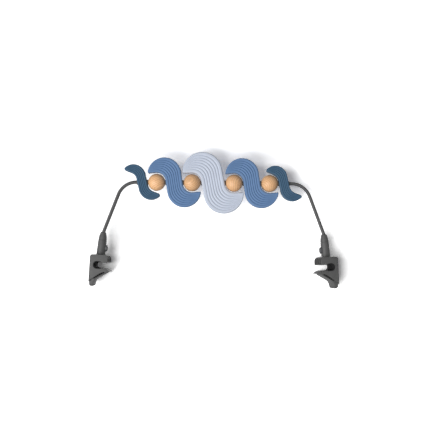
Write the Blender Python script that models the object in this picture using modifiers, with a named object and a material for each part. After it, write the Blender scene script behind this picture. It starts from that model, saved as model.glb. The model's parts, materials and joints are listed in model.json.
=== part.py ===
"""Bouncer toy bar: a bent metal arch that carries five grooved silicone waves and
four beech balls, with a swivelling push-button frame clamp at each end.

World frame: X along the bar, Z up, Y front to back. The origin is under the
middle of the whole part, level with the lowest points of the clamps' tails.
Each neck frame has its origin where the neck meets the clamp, Z up the neck and
X towards the middle of the arch.
"""
import math

import bmesh
import bpy
import numpy as np
from mathutils import Matrix, Vector

MM = 0.001

# Clearances
SEAT_GAP = 0.3 * MM
OVERRUN = 3.0 * MM
WELD = 0.01 * MM

# Bar
BAR_RADIUS = 3.2 * MM
SHOULDER_BEND_RADIUS = 36.0 * MM
ARM_DROP = 92.0 * MM
NECK_BEND_RADIUS = 14.0 * MM
SHOULDER_RUN = 2.2 * MM
ARM_ANGLE = math.radians(21.0)
NECK_LEAN = math.radians(6.0)
SHOULDER_BEND_STEPS = 9
NECK_BEND_STEPS = 3
TUBE_RESOLUTION = 4

# Row of toys on the bar, which stands a little to the left of its middle
ROW_SHIFT = -2.0 * MM
BALL_RADIUS = 16.0 * MM
HUB_RADIUS = 5.0 * MM
COLLAR_LENGTH = 3.6 * MM
WAVE_HALF_THICKNESS = 9.0 * MM
WAVE_RIM_RADIUS = 3.0 * MM
GROOVE_DEPTH = 0.9 * MM

# Neck, measured along its axis from its top
NECK_LENGTH = 42.4 * MM
CAP_SHARE = 0.342
CAP_TOP_RADIUS = 5.45 * MM
CAP_SHOULDER = 2.2 * MM
CAP_ABOVE_BEND = 1.3 * MM
SEAM_RADIUS = 7.9 * MM
SEAM_CHAMFER = 0.5 * MM
BARREL_BASE_RADIUS = 8.6 * MM
BARREL_SKIRT = 2.0 * MM
SPIGOT_RADIUS = 5.4 * MM
SPIGOT_LENGTH = 2.2 * MM
CHAMBER_RADIUS = 6.8 * MM
BEARING_LENGTH = 4.5 * MM

# End pin and latch
PIN_SHANK_RADIUS = 1.5 * MM
PIN_SHANK_LENGTH = 9.0 * MM
PIN_HEAD = 1.3 * MM
PIN_TIP = 1.0 * MM
GROOVE_RADIUS = 2.0 * MM
PIN_CHAMFER = 0.5 * MM
LATCH_THICKNESS = 3.0 * MM
LATCH_DROP = 5.6 * MM
LATCH_OUTER_RADIUS = 5.0 * MM
LATCH_OFFSET = 0.3 * MM

# Release button
BUTTON_HEIGHT = 11.8 * MM
BUTTON_WIDTH = 8.6 * MM
BUTTON_PROUD = 3.2 * MM
BUTTON_ROUNDING = 1.4 * MM
BUTTON_TRAVEL = 1.8 * MM
SPRING_RADIUS = 1.45 * MM
SPRING_WIRE = 0.25 * MM
SPRING_COVER = 0.5 * MM
SPRING_SEAT = 1.5 * MM
SPRING_CUP = 3.0 * MM
SPRING_TURNS = 5
SPRING_POINTS = 8
SPRING_RESOLUTION = 0

# Clamp, in its own frame: u towards the middle of the arch, v up
CLAMP_TILT = math.radians(3.0)
CLAMP_DEPTH = 38.0 * MM
CLAMP_OUTER = 16.6 * MM
CLAMP_INNER = 16.6 * MM
CLAMP_CORNER = 4.5 * MM
CLAMP_EDGE_ROUNDING = 0.45 * MM
JAW_NOSE_RADIUS = 7.5 * MM
JAW_CORNER = 1.0 * MM
SLOT_RADIUS = 5.7 * MM
SLOT_CENTRE_U = -2.8 * MM
SLOT_CENTRE_V = -19.0 * MM
JAW_SLOPE = math.radians(5.5)
LIP_FLAT_END = 7.0 * MM
LIP_DROOP_RADIUS = 21.0 * MM
LIP_DROOP = math.radians(40.0)
LIP_EDGE = 1.0 * MM
FLANGE_POINTS = (
    (13.0 * MM, -30.9 * MM), (8.5 * MM, -32.0 * MM), (5.0 * MM, -33.5 * MM),
    (2.0 * MM, -35.3 * MM), (-6.0 * MM, -41.3 * MM), (-14.2 * MM, -47.5 * MM),
    (-16.0 * MM, -49.3 * MM), (-16.6 * MM, -51.0 * MM),
)
CORE_DEPTH = 28.0 * MM
CORE_BACK_V = -34.0 * MM
CORE_TIP_V = -29.0 * MM
RAMP_TOP_U = 15.5 * MM
RAMP_TOP_V = -32.3 * MM
RAMP_SLOPE = math.radians(31.5)
RAMP_FOOT_RADIUS = 14.0 * MM
TAIL_THICKNESS = 7.8 * MM
TAIL_STEP = 0.3 * MM
TAIL_FOOT = 59.2 * MM
TAIL_FOOT_RADIUS = 3.4 * MM
TAIL_CORNER = 8.0 * MM

# Cored-out nose of the clamp, and the pockets in both faces of the ramp
NOSE_POCKETS = 4
NOSE_POCKET_DEPTH = 5.0 * MM
NOSE_POCKET_TOP = math.radians(52.0)
NOSE_RIB = 1.5 * MM
NOSE_FLOOR = 1.6 * MM
RAMP_POCKETS = 4
RAMP_POCKET_WIDTH = 2.6 * MM
RAMP_POCKET_DEPTH = 9.0 * MM
RAMP_POCKET_TOP = 5.4 * MM
RAMP_POCKET_PITCH = 3.9 * MM
RAMP_POCKET_START = 5.4 * MM
RAMP_SKIN = 1.1 * MM

# How far each clamp is turned about its neck as it stands
SWIVEL_REST = {"left": math.radians(-3.0), "right": math.radians(12.5)}

# Boss of the clamp inside the barrel
BOSS_GAP = 0.4 * MM

# Grip pad
PAD_RECESS = 0.5 * MM
PAD_THICKNESS = 1.3 * MM
PAD_LEG = 7.0 * MM
PAD_GROOVES = 4
PAD_GROOVE_DEPTH = 0.9 * MM
PAD_RIB_WIDTH = 1.8 * MM

# Facets
TURN_STEPS = 20
SMALL_TURN_STEPS = 12
BALL_ARC_STEPS = 7
ARC_STEP = math.radians(18.0)
SHARP_ANGLE = math.radians(35.0)
FLAT_ANGLE = math.radians(0.5)

# Each wave: outer arc centre and radius, hook's gap round the ball and lift over it,
# slope of the hook's lower edge in degrees, tip radius, gap between the outer arc and
# the opposite hook's arc, grooves, stations.
WAVES = {
    "pale": {
        "arc_u": 20.0 * MM, "arc_v": 20.0 * MM, "arc_radius": 36.8 * MM,
        "hook_gap": 1.0 * MM, "hook_lift": 1.0 * MM, "hook_slope": 3.0,
        "tip_radius": 2.0 * MM, "arc_gap": 8.82 * MM, "grooves": 7, "stations": 10,
    },
    "blue": {
        "arc_u": 18.4 * MM, "arc_v": 14.7 * MM, "arc_radius": 31.3 * MM,
        "hook_gap": 1.0 * MM, "hook_lift": 1.0 * MM, "hook_slope": 6.0,
        "tip_radius": 2.2 * MM, "arc_gap": 5.44 * MM, "grooves": 6, "stations": 9,
    },
    "dark": {
        "arc_u": 16.3 * MM, "arc_v": 10.2 * MM, "arc_radius": 22.6 * MM,
        "hook_gap": 0.5 * MM, "hook_lift": 1.6 * MM, "hook_slope": -20.0,
        "tip_radius": 3.4 * MM, "arc_gap": 5.29 * MM, "grooves": 4, "stations": 8,
    },
}
ROW = (
    ("wave", "dark", "left"), ("ball", None, "outer_left"),
    ("wave", "blue", "left"), ("ball", None, "inner_left"),
    ("wave", "pale", ""),
    ("ball", None, "inner_right"), ("wave", "blue", "right"),
    ("ball", None, "outer_right"), ("wave", "dark", "right"),
)
DENSE_STEPS = 48

# Worked out from the sizes above
BORE_RADIUS = BAR_RADIUS + SEAT_GAP
WAVE_BORE_RADIUS = HUB_RADIUS + SEAT_GAP
BALL_HALF_LENGTH = math.sqrt(BALL_RADIUS ** 2 - BORE_RADIUS ** 2)
LATCH_HOLE_RADIUS = BORE_RADIUS
SEAM_HEIGHT = NECK_LENGTH * (1 - CAP_SHARE)
CHAMBER_HEIGHT = SEAM_HEIGHT - SPIGOT_LENGTH - 2 * SEAT_GAP - BEARING_LENGTH
LATCH_HEIGHT = CHAMBER_HEIGHT - LATCH_DROP
BAR_FOOT = LATCH_HEIGHT + LATCH_THICKNESS / 2 + PIN_HEAD + 2 * SEAT_GAP
PIN_FOOT = LATCH_HEIGHT - LATCH_THICKNESS / 2 - PIN_TIP - SEAT_GAP
BOSS_HEIGHT = PIN_FOOT - BOSS_GAP
SPRING_BORE = SPRING_RADIUS + SPRING_WIRE + SEAT_GAP
SPRING_HEIGHT = BOSS_HEIGHT - SPRING_BORE - SPRING_COVER
BUTTON_MIDDLE = SPRING_HEIGHT - SPRING_BORE - SPRING_COVER + BUTTON_HEIGHT / 2
BUTTON_BACK = BAR_RADIUS + BUTTON_TRAVEL + 2 * SEAT_GAP
BUTTON_BACK_PRESSED = BUTTON_BACK - BUTTON_TRAVEL - SEAT_GAP
BUTTON_FACE = BARREL_BASE_RADIUS + BUTTON_PROUD
PAD_DEPTH = CLAMP_DEPTH - 2 * PAD_RECESS
SIDES = (("left", -1), ("right", 1))

COLOURS = {
    "bar_coating": ((0.085, 0.085, 0.086), 0.42, 0.55),
    "steel": ((0.55, 0.55, 0.56), 0.30, 1.0),
    "clamp_plastic": ((0.115, 0.118, 0.118), 0.55, 0.0),
    "button_plastic": ((0.100, 0.103, 0.106), 0.50, 0.0),
    "grip_rubber": ((0.030, 0.030, 0.032), 0.80, 0.0),
    "hub_plastic": ((0.110, 0.112, 0.115), 0.50, 0.0),
    "beech": ((0.72, 0.43, 0.22), 0.50, 0.0),
    "silicone_pale": ((0.51, 0.56, 0.65), 0.65, 0.0),
    "silicone_blue": ((0.115, 0.208, 0.370), 0.65, 0.0),
    "silicone_dark": ((0.045, 0.102, 0.168), 0.65, 0.0),
}


def clear_scene():
    """Remove what the open scene holds."""
    for item in list(bpy.data.objects):
        bpy.data.objects.remove(item, do_unlink=True)


def new_collection(name):
    """A collection under the scene's own."""
    collection = bpy.data.collections.new(name)
    bpy.context.scene.collection.children.link(collection)
    return collection


def material(name):
    """The Principled material of one finish."""
    found = bpy.data.materials.get(name)
    if found:
        return found
    colour, roughness, metallic = COLOURS[name]
    made = bpy.data.materials.new(name)
    made.use_nodes = True
    shader = made.node_tree.nodes["Principled BSDF"]
    shader.inputs["Base Color"].default_value = (*colour, 1.0)
    shader.inputs["Roughness"].default_value = roughness
    shader.inputs["Metallic"].default_value = metallic
    return made


def own_material(node, finish):
    """A node's own copy of a finish."""
    made = material(finish).copy()
    made.name = node + "_" + finish
    return made


def empty(name, parent, location=(0, 0, 0), rotation=(0, 0, 0)):
    """A frame that carries other pieces."""
    made = bpy.data.objects.new(name, None)
    PARTS.objects.link(made)
    made.parent = parent
    made.location = location
    made.rotation_euler = rotation
    return made


def place(item, parent, location=(0, 0, 0), rotation=(0, 0, 0)):
    """Set an object in its parent's frame."""
    item.parent = parent
    item.location = location
    item.rotation_euler = rotation
    return item


def part(name, mesh, finish, parent, location=(0, 0, 0), rotation=(0, 0, 0)):
    """A sub-part of the toy bar."""
    made = bpy.data.objects.new(name, mesh)
    PARTS.objects.link(made)
    mesh.materials.append(own_material(name, finish))
    mesh.shade_smooth()
    mesh.set_sharp_from_angle(angle=SHARP_ANGLE)
    return place(made, parent, location, rotation)


def cutter(name, mesh, parent, location=(0, 0, 0), rotation=(0, 0, 0)):
    """A shape that is only cut from, or joined to, a sub-part."""
    made = bpy.data.objects.new(name, mesh)
    CUTTERS.objects.link(made)
    made.hide_render = True
    made.display_type = "WIRE"
    return place(made, parent, location, rotation)


def boolean(item, other, operation="DIFFERENCE"):
    """Cut another object from this one, or join it to this one."""
    step = item.modifiers.new(operation.lower() + "_" + other.name, "BOOLEAN")
    step.operation = operation
    step.solver = "EXACT"
    step.object = other


def rounded(item, width, segments=1, angle=math.radians(50.0)):
    """Round the sharp edges of an object."""
    step = item.modifiers.new("rounded_edges", "BEVEL")
    step.width = width
    step.segments = segments
    step.limit_method = "ANGLE"
    step.angle_limit = angle


def mesh_from(item):
    """Turn an object into a welded mesh with its faces outwards, and remove it."""
    graph = bpy.context.evaluated_depsgraph_get()
    mesh = bpy.data.meshes.new_from_object(item.evaluated_get(graph))
    old = item.data
    bpy.data.objects.remove(item, do_unlink=True)
    if isinstance(old, bpy.types.Curve):
        bpy.data.curves.remove(old)
    work = bmesh.new()
    work.from_mesh(mesh)
    bmesh.ops.remove_doubles(work, verts=work.verts, dist=WELD)
    bmesh.ops.recalc_face_normals(work, faces=work.faces)
    work.to_mesh(mesh)
    work.free()
    return mesh


def turned(name, profile, steps=TURN_STEPS):
    """A solid of revolution about Z, from a closed profile of (radius, height)."""
    mesh = bpy.data.meshes.new(name)
    points = [(radius, 0, height) for radius, height in profile]
    edges = [(i, (i + 1) % len(points)) for i in range(len(points))]
    mesh.from_pydata(points, edges, [])
    item = bpy.data.objects.new(name, mesh)
    bpy.context.scene.collection.objects.link(item)
    screw = item.modifiers.new("screw", "SCREW")
    screw.steps = steps
    screw.render_steps = steps
    screw.use_merge_vertices = True
    screw.merge_threshold = WELD
    return mesh_from(item)


def tube(name, points, radius, resolution=TUBE_RESOLUTION, cyclic=False):
    """A round rod along a line of points."""
    curve = bpy.data.curves.new(name, "CURVE")
    curve.dimensions = "3D"
    curve.bevel_depth = radius
    curve.bevel_resolution = resolution
    curve.use_fill_caps = True
    spline = curve.splines.new("POLY")
    spline.points.add(len(points) - 1)
    for place_in, point in zip(spline.points, points):
        place_in.co = (*point, 1)
    spline.use_cyclic_u = cyclic
    item = bpy.data.objects.new(name, curve)
    bpy.context.scene.collection.objects.link(item)
    return mesh_from(item)


TURNS = {
    "Z": Matrix.Identity(4),
    "Y": Matrix.Rotation(math.radians(90), 4, "X"),
    "X": Matrix(((0, 0, 1, 0), (1, 0, 0, 0), (0, 1, 0, 0), (0, 0, 0, 1))),
}


def prism(name, outlines, half_depth, along):
    """A flat outline with any holes, extruded to both sides along one axis."""
    curve = bpy.data.curves.new(name, "CURVE")
    curve.dimensions = "2D"
    curve.fill_mode = "BOTH"
    curve.extrude = half_depth
    for outline in outlines:
        spline = curve.splines.new("POLY")
        spline.points.add(len(outline) - 1)
        for place_in, point in zip(spline.points, outline):
            place_in.co = (*point, 0, 1)
        spline.use_cyclic_u = True
    item = bpy.data.objects.new(name, curve)
    bpy.context.scene.collection.objects.link(item)
    mesh = mesh_from(item)
    work = bmesh.new()
    work.from_mesh(mesh)
    bmesh.ops.dissolve_limit(work, angle_limit=FLAT_ANGLE, verts=work.verts, edges=work.edges)
    work.to_mesh(mesh)
    work.free()
    mesh.transform(TURNS[along])
    return mesh


def arc(centre, radius, start, end, step=ARC_STEP):
    """Points on an arc, between two angles in radians."""
    count = max(2, math.ceil(abs(end - start) / step))
    angles = [start + (end - start) * i / count for i in range(count + 1)]
    return [(centre[0] + radius * math.cos(a), centre[1] + radius * math.sin(a)) for a in angles]


def oval(centre, width, height):
    """An upright slot shape with half-round ends."""
    radius = width / 2
    rise = height / 2 - radius
    upper = (centre[0], centre[1] + rise)
    lower = (centre[0], centre[1] - rise)
    return arc(upper, radius, 0, math.pi) + arc(lower, radius, math.pi, 2 * math.pi)


def bar_half():
    """The right half of the bar's centre line, from the shoulder to the foot."""
    lean = math.pi / 2 - ARM_ANGLE
    arc_start = row_reach() + SHOULDER_RUN
    points = []
    for i in range(SHOULDER_BEND_STEPS + 1):
        turn = lean * i / SHOULDER_BEND_STEPS
        points.append((
            arc_start + SHOULDER_BEND_RADIUS * math.sin(turn),
            -SHOULDER_BEND_RADIUS * (1 - math.cos(turn)),
        ))
    x, z = points[-1]
    run = ARM_DROP + z
    x += run * math.tan(ARM_ANGLE)
    z = -ARM_DROP
    for i in range(NECK_BEND_STEPS + 1):
        angle = ARM_ANGLE + (NECK_LEAN - ARM_ANGLE) * i / NECK_BEND_STEPS
        points.append((
            x + NECK_BEND_RADIUS * (math.cos(angle) - math.cos(ARM_ANGLE)),
            z - NECK_BEND_RADIUS * (math.sin(ARM_ANGLE) - math.sin(angle)),
        ))
    return points


def neck_base():
    """Where the neck's axis meets the clamp, in the plane of the arch."""
    x, z = bar_half()[-1]
    top_z = -ARM_DROP - CAP_ABOVE_BEND
    along = NECK_LENGTH - (z - top_z) / -math.cos(NECK_LEAN)
    return x + along * math.sin(NECK_LEAN), z - along * math.cos(NECK_LEAN)


def row_reach():
    """Half the length of the row of toys."""
    return (
        hub_half("pale") + 2 * hub_half("blue") + 2 * hub_half("dark")
        + 4 * (BALL_HALF_LENGTH + SEAT_GAP)
    )


def row_places():
    """Each toy of the row with the place of its middle on the bar."""
    places = []
    at = ROW_SHIFT - row_reach()
    for kind, size, side in ROW:
        half = BALL_HALF_LENGTH + SEAT_GAP if kind == "ball" else hub_half(size)
        at += half
        places.append((kind, size, side, at))
        at += half
    return places


def hook_radius(wave):
    """A hook goes round its ball at a gap."""
    return BALL_RADIUS + wave["hook_gap"]


def ball_offset(size):
    """How far a neighbouring ball's middle lies from a wave's middle."""
    wave = WAVES[size]
    span = wave["arc_radius"] + hook_radius(wave) + wave["arc_gap"]
    fall = wave["hook_lift"] + wave["arc_v"]
    return math.sqrt(span ** 2 - fall ** 2) - wave["arc_u"]


def hub_half(size):
    """Half of a wave's length on the bar, between its two balls."""
    return ball_offset(size) - SEAT_GAP - BALL_HALF_LENGTH


def crossing(wave, size):
    """The angle of the line that joins a wave's outer arc to its hook's arc."""
    run = ball_offset(size) + wave["arc_u"]
    fall = wave["hook_lift"] + wave["arc_v"]
    radii = wave["arc_radius"] + hook_radius(wave)
    return math.acos(radii / (radii + wave["arc_gap"])) - math.atan2(fall, run)


def hook_tip(wave, size):
    """The centre of a tip's rounding, and its two ends as angles."""
    slope = math.radians(wave["hook_slope"])
    hook = np.array([-ball_offset(size), wave["hook_lift"]])
    inward = np.array([-math.sin(slope), math.cos(slope)])
    along = np.array([-math.cos(slope), -math.sin(slope)])
    start = hook + inward * (hook_radius(wave) + wave["tip_radius"])
    big = np.array([-wave["arc_u"], wave["arc_v"]])
    gap = start - big
    reach = wave["arc_radius"] - wave["tip_radius"]
    half = gap @ along
    far = -half + math.sqrt(half ** 2 - gap @ gap + reach ** 2)
    centre = start + along * far
    low = math.atan2(-inward[1], -inward[0]) % (2 * math.pi)
    high = math.atan2(*(centre - big)[::-1]) % (2 * math.pi)
    return centre, high, low


def half_edges(size):
    """A wave's outer and inner edge, from the upper left tip to the bar's axis."""
    wave = WAVES[size]
    lean = crossing(wave, size)
    slope = math.radians(wave["hook_slope"])
    fine = math.pi / DENSE_STEPS
    centre, high, low = hook_tip(wave, size)
    middle = (high + low) / 2
    big = (-wave["arc_u"], wave["arc_v"])
    hook = (-ball_offset(size), wave["hook_lift"])
    outer = arc(centre, wave["tip_radius"], middle, high, fine)
    outer += arc(big, wave["arc_radius"], high, lean, fine)
    inner = arc(centre, wave["tip_radius"], middle, low, fine)
    inner += arc(hook, hook_radius(wave), math.pi / 2 + slope, lean, fine)
    run = outer[-1][1] / math.cos(lean) * math.sin(lean)
    axis_point = (outer[-1][0] + run, 0.0)
    outer.append(axis_point)
    inner.append((-axis_point[0], 0.0))
    return np.array(outer), np.array(inner)


def resample(points, shares):
    """Points at shares of a line's length."""
    steps = np.linalg.norm(np.diff(points, axis=0), axis=1)
    along = np.concatenate([[0.0], np.cumsum(steps)])
    along /= along[-1]
    return np.stack([np.interp(shares, along, points[:, k]) for k in (0, 1)], axis=1)


def wave_edges(size):
    """Both edges of a wave at matching stations, tip to tip."""
    outer, inner = half_edges(size)
    stations = WAVES[size]["stations"]
    shares = np.linspace(0, 1, stations + 1) ** 1.25
    right, left = resample(outer, shares), resample(inner, shares)
    right, left = (
        np.concatenate([right, -left[-2::-1]]),
        np.concatenate([left, -right[-2::-1]]),
    )
    return left, right


def wave_section(width, grooves):
    """Across one station: shares of the width, and the face's height there.

    The rim is a quarter round of the rim radius, and the face between the rims
    runs from crest to groove and back, once for each groove.
    """
    rim = np.minimum(WAVE_RIM_RADIUS, width / 2)
    reach = np.minimum(1.0, width / (2 * WAVE_RIM_RADIUS))
    low = WAVE_HALF_THICKNESS - WAVE_RIM_RADIUS
    top = low + WAVE_RIM_RADIUS * np.sqrt(1 - (1 - reach) ** 2)
    waist = math.sqrt(0.5)
    face = np.linspace(rim, width - rim, 2 * grooves + 1)
    pitch = (width - 2 * rim) / grooves
    depth = GROOVE_DEPTH * min(1.0, pitch / (3 * GROOVE_DEPTH))
    heights = np.where(np.arange(2 * grooves + 1) % 2, top - depth, top)
    across = np.concatenate([[0, rim * (1 - waist)], face, [width - rim * (1 - waist), width]])
    edge = low + (top - low) * waist
    heights = np.concatenate([[low, edge], heights, [edge, low]])
    return across / max(width, WELD), heights


def wave_mesh(size):
    """A wave: sections lofted between its two edges from tip to tip."""
    left, right = wave_edges(size)
    grooves = WAVES[size]["grooves"]
    rings = []
    for a, b in zip(left, right):
        shares, heights = wave_section(np.linalg.norm(b - a), grooves)
        line = a + shares[:, None] * (b - a)
        front = np.column_stack([line[:, 0], -heights, line[:, 1]])
        back = np.column_stack([line[:, 0], heights, line[:, 1]])[::-1]
        rings.append(np.concatenate([front, back]))
    count = len(rings[0])
    points = np.concatenate(rings)
    faces = []
    for i in range(len(rings) - 1):
        for j in range(count):
            k = (j + 1) % count
            faces.append((i * count + j, i * count + k, (i + 1) * count + k, (i + 1) * count + j))
    mesh = bpy.data.meshes.new("wave_" + size)
    mesh.from_pydata(points.tolist(), [], faces)
    work = bmesh.new()
    work.from_mesh(mesh)
    bmesh.ops.remove_doubles(work, verts=work.verts, dist=WELD)
    bmesh.ops.triangulate(work, faces=work.faces)
    bmesh.ops.recalc_face_normals(work, faces=work.faces)
    work.to_mesh(mesh)
    work.free()
    return mesh


def sleeve_profile(outer, inner, low, high):
    """A plain ring's profile, down its outer side first."""
    return [(outer, high), (outer, low), (inner, low), (inner, high)]


def ball_mesh():
    """A beech ball with its bore along Z."""
    start = math.asin(BALL_HALF_LENGTH / BALL_RADIUS)
    profile = [
        (BALL_RADIUS * math.cos(a), BALL_RADIUS * math.sin(a))
        for a in np.linspace(start, -start, BALL_ARC_STEPS + 1)
    ]
    return turned("ball", profile)


def build_row(root):
    """The waves with their hubs, and the balls, each about the bar's axis."""
    along_bar = (0, math.radians(90), 0)
    for kind, size, side, at in row_places():
        if kind == "ball":
            part("ball_" + side, ball_mesh(), "beech", root, (at, 0, 0), along_bar)
            continue
        name = "_".join(word for word in ("wave", size, side) if word)
        frame = empty(name + "_turn", root, (at, 0, 0))
        wave = part(name, wave_mesh(size), "silicone_" + size, frame)
        half = hub_half(size)
        bore = turned(
            name + "_bore",
            [(WAVE_BORE_RADIUS, half + OVERRUN), (WAVE_BORE_RADIUS, -half - OVERRUN),
             (0, -half - OVERRUN), (0, half + OVERRUN)],
            SMALL_TURN_STEPS,
        )
        boolean(wave, cutter(name + "_bore", bore, frame, (0, 0, 0), along_bar))
        low, high = -half, half
        if size == "dark":
            shorter = half - COLLAR_LENGTH - SEAT_GAP
            low, high = (-shorter, half) if side == "left" else (-half, shorter)
        hub = turned(name + "_hub", sleeve_profile(HUB_RADIUS, BORE_RADIUS, low, high),
                     SMALL_TURN_STEPS)
        part(name.replace("wave", "hub"), hub, "hub_plastic", frame, (0, 0, 0), along_bar)


def build_collars(root):
    """The stop collars at both ends of the row."""
    for side, sign in SIDES:
        ring = turned(
            "collar", sleeve_profile(HUB_RADIUS, BORE_RADIUS, 0, COLLAR_LENGTH), SMALL_TURN_STEPS
        )
        place_x = ROW_SHIFT + sign * row_reach() - (COLLAR_LENGTH if sign > 0 else 0)
        part("stop_collar_" + side, ring, "bar_coating", root, (place_x, 0, 0),
             (0, math.radians(90), 0))


def build_bar(root):
    """The bent bar, drilled at both feet for the end pins."""
    half = bar_half()
    base_x, base_z = neck_base()
    foot = (
        base_x - BAR_FOOT * math.sin(NECK_LEAN),
        base_z + BAR_FOOT * math.cos(NECK_LEAN),
    )
    right = [(x, 0, z) for x, z in half + [foot]]
    left = [(-x, 0, z) for x, y, z in right[::-1]]
    bar = part("bar", tube("bar", left + right, BAR_RADIUS), "bar_coating", root)
    for side, sign in SIDES:
        depth = PIN_SHANK_LENGTH + SEAT_GAP
        hole = turned(
            "bar_hole",
            [(PIN_SHANK_RADIUS + SEAT_GAP, depth), (PIN_SHANK_RADIUS + SEAT_GAP, -OVERRUN),
             (0, -OVERRUN), (0, depth)],
            SMALL_TURN_STEPS,
        )
        boolean(bar, cutter("bar_hole_" + side, hole, NECKS[side], (0, 0, BAR_FOOT)))


def build_pin(side):
    """The turned pin in the bar's foot, with the latch groove."""
    head = BAR_FOOT - SEAT_GAP
    groove = LATCH_THICKNESS / 2 + SEAT_GAP
    profile = [
        (PIN_SHANK_RADIUS, head + PIN_SHANK_LENGTH),
        (PIN_SHANK_RADIUS, head),
        (BAR_RADIUS, head),
        (BAR_RADIUS, LATCH_HEIGHT + groove),
        (GROOVE_RADIUS, LATCH_HEIGHT + groove),
        (GROOVE_RADIUS, LATCH_HEIGHT - groove),
        (BAR_RADIUS, LATCH_HEIGHT - groove),
        (BAR_RADIUS, PIN_FOOT + PIN_CHAMFER),
        (BAR_RADIUS - PIN_CHAMFER, PIN_FOOT),
        (0, PIN_FOOT),
        (0, head + PIN_SHANK_LENGTH),
    ]
    part("end_pin_" + side, turned("end_pin", profile, SMALL_TURN_STEPS), "steel", NECKS[side])


def build_cap(side):
    """The tapered cap over the bar's last bend, with a spigot into the barrel."""
    seam = SEAM_HEIGHT
    shoulder = [
        (CAP_TOP_RADIUS - CAP_SHOULDER + x, NECK_LENGTH - CAP_SHOULDER + z)
        for x, z in arc((0, 0), CAP_SHOULDER, math.pi / 2, 0, math.radians(30))
    ]
    middle = ((CAP_TOP_RADIUS + SEAM_RADIUS) / 2 + SEAM_CHAMFER / 2, (NECK_LENGTH + seam) / 2)
    profile = [(0, NECK_LENGTH)] + shoulder + [
        middle,
        (SEAM_RADIUS, seam + SEAM_CHAMFER),
        (SEAM_RADIUS - SEAM_CHAMFER, seam),
        (SPIGOT_RADIUS, seam),
        (SPIGOT_RADIUS, seam - SPIGOT_LENGTH),
        (0, seam - SPIGOT_LENGTH),
    ]
    cap = part("neck_cap_" + side, turned("neck_cap", profile), "clamp_plastic", NECKS[side])
    sign = dict(SIDES)[side]
    half = bar_half()
    above = half[-NECK_BEND_STEPS - 1]
    lift = NECK_LENGTH
    start = (above[0] - lift * math.sin(ARM_ANGLE), above[1] + lift * math.cos(ARM_ANGLE))
    base_x, base_z = neck_base()
    route = [start] + half[-NECK_BEND_STEPS - 1:] + [(base_x, base_z)]
    points = [(sign * x, 0, z) for x, z in route]
    channel = tube("cap_channel", points, BORE_RADIUS, TUBE_RESOLUTION)
    boolean(cap, cutter("cap_channel_" + side, channel, ROOT))


def build_barrel(side):
    """The barrel: bearing on the pin, chamber for the latch, window for the button."""
    seam = SEAM_HEIGHT - SEAT_GAP
    counterbore = SPIGOT_RADIUS + SEAT_GAP
    floor = seam - SPIGOT_LENGTH - SEAT_GAP
    profile = [
        (counterbore, seam),
        (SEAM_RADIUS - SEAM_CHAMFER, seam),
        (SEAM_RADIUS, seam - SEAM_CHAMFER),
        (BARREL_BASE_RADIUS, -BARREL_SKIRT),
        (CHAMBER_RADIUS, -BARREL_SKIRT),
        (CHAMBER_RADIUS, CHAMBER_HEIGHT),
        (BORE_RADIUS, CHAMBER_HEIGHT),
        (BORE_RADIUS, floor),
        (counterbore, floor),
    ]
    barrel = part("barrel_" + side, turned("barrel", profile), "clamp_plastic", SWIVELS[side])
    width = BARREL_BASE_RADIUS + OVERRUN - BUTTON_BACK_PRESSED
    window = prism(
        "window",
        [oval((0, BUTTON_MIDDLE), BUTTON_WIDTH + 2 * SEAT_GAP, BUTTON_HEIGHT + 2 * SEAT_GAP)],
        width / 2, "X",
    )
    middle = (BARREL_BASE_RADIUS + OVERRUN + BUTTON_BACK_PRESSED) / 2
    boolean(barrel, cutter("button_window_" + side, window, SWIVELS[side], (middle, 0, 0)))
    below = [(-CLAMP_OUTER, SEAT_GAP), (-CLAMP_OUTER, -CLAMP_OUTER),
             (CLAMP_INNER, -CLAMP_OUTER), (CLAMP_INNER, SEAT_GAP)]
    seat = prism("barrel_seat", [below], CLAMP_DEPTH / 2, "Y")
    boolean(barrel, cutter("barrel_seat_" + side, seat, CLAMPS[side]))


def build_button(side):
    """The button with its latch ring, whose far side lies in the pin's groove."""
    length = BUTTON_FACE - BUTTON_BACK
    head = prism(
        "button_head", [oval((0, BUTTON_MIDDLE), BUTTON_WIDTH, BUTTON_HEIGHT)], length / 2, "X"
    )
    head.transform(Matrix.Translation(((BUTTON_FACE + BUTTON_BACK) / 2, 0, 0)))
    button = part("release_button_" + side, head, "button_plastic", BUTTONS[side])
    rounded(button, BUTTON_ROUNDING, 2)
    reach = LATCH_HOLE_RADIUS - GROOVE_RADIUS - SEAT_GAP
    near = BUTTON_BACK - SEAT_GAP - LATCH_HOLE_RADIUS
    hole = arc((near, 0), LATCH_HOLE_RADIUS, -math.pi / 2, math.pi / 2)
    hole += arc((reach, 0), LATCH_HOLE_RADIUS, math.pi / 2, 3 * math.pi / 2)
    tongue = (BUTTON_WIDTH - 2 * BUTTON_ROUNDING) / 2
    start = math.asin(tongue / LATCH_OUTER_RADIUS)
    outer = arc((LATCH_OFFSET, 0), LATCH_OUTER_RADIUS, start, 2 * math.pi - start)
    outer += [(BUTTON_BACK + OVERRUN, -tongue), (BUTTON_BACK + OVERRUN, tongue)]
    ring = prism("latch_ring", [outer, hole], LATCH_THICKNESS / 2, "Z")
    joined = cutter("latch_ring_" + side, ring, BUTTONS[side], (0, 0, LATCH_HEIGHT))
    boolean(button, joined, "UNION")
    cup = turned(
        "spring_cup",
        [(SPRING_BORE, SPRING_CUP), (SPRING_BORE, -OVERRUN), (0, -OVERRUN), (0, SPRING_CUP)],
        SMALL_TURN_STEPS,
    )
    cut = cutter("spring_cup_" + side, cup, BUTTONS[side], (BUTTON_BACK, 0, SPRING_HEIGHT),
                 (0, math.radians(90), 0))
    boolean(button, cut)


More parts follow.
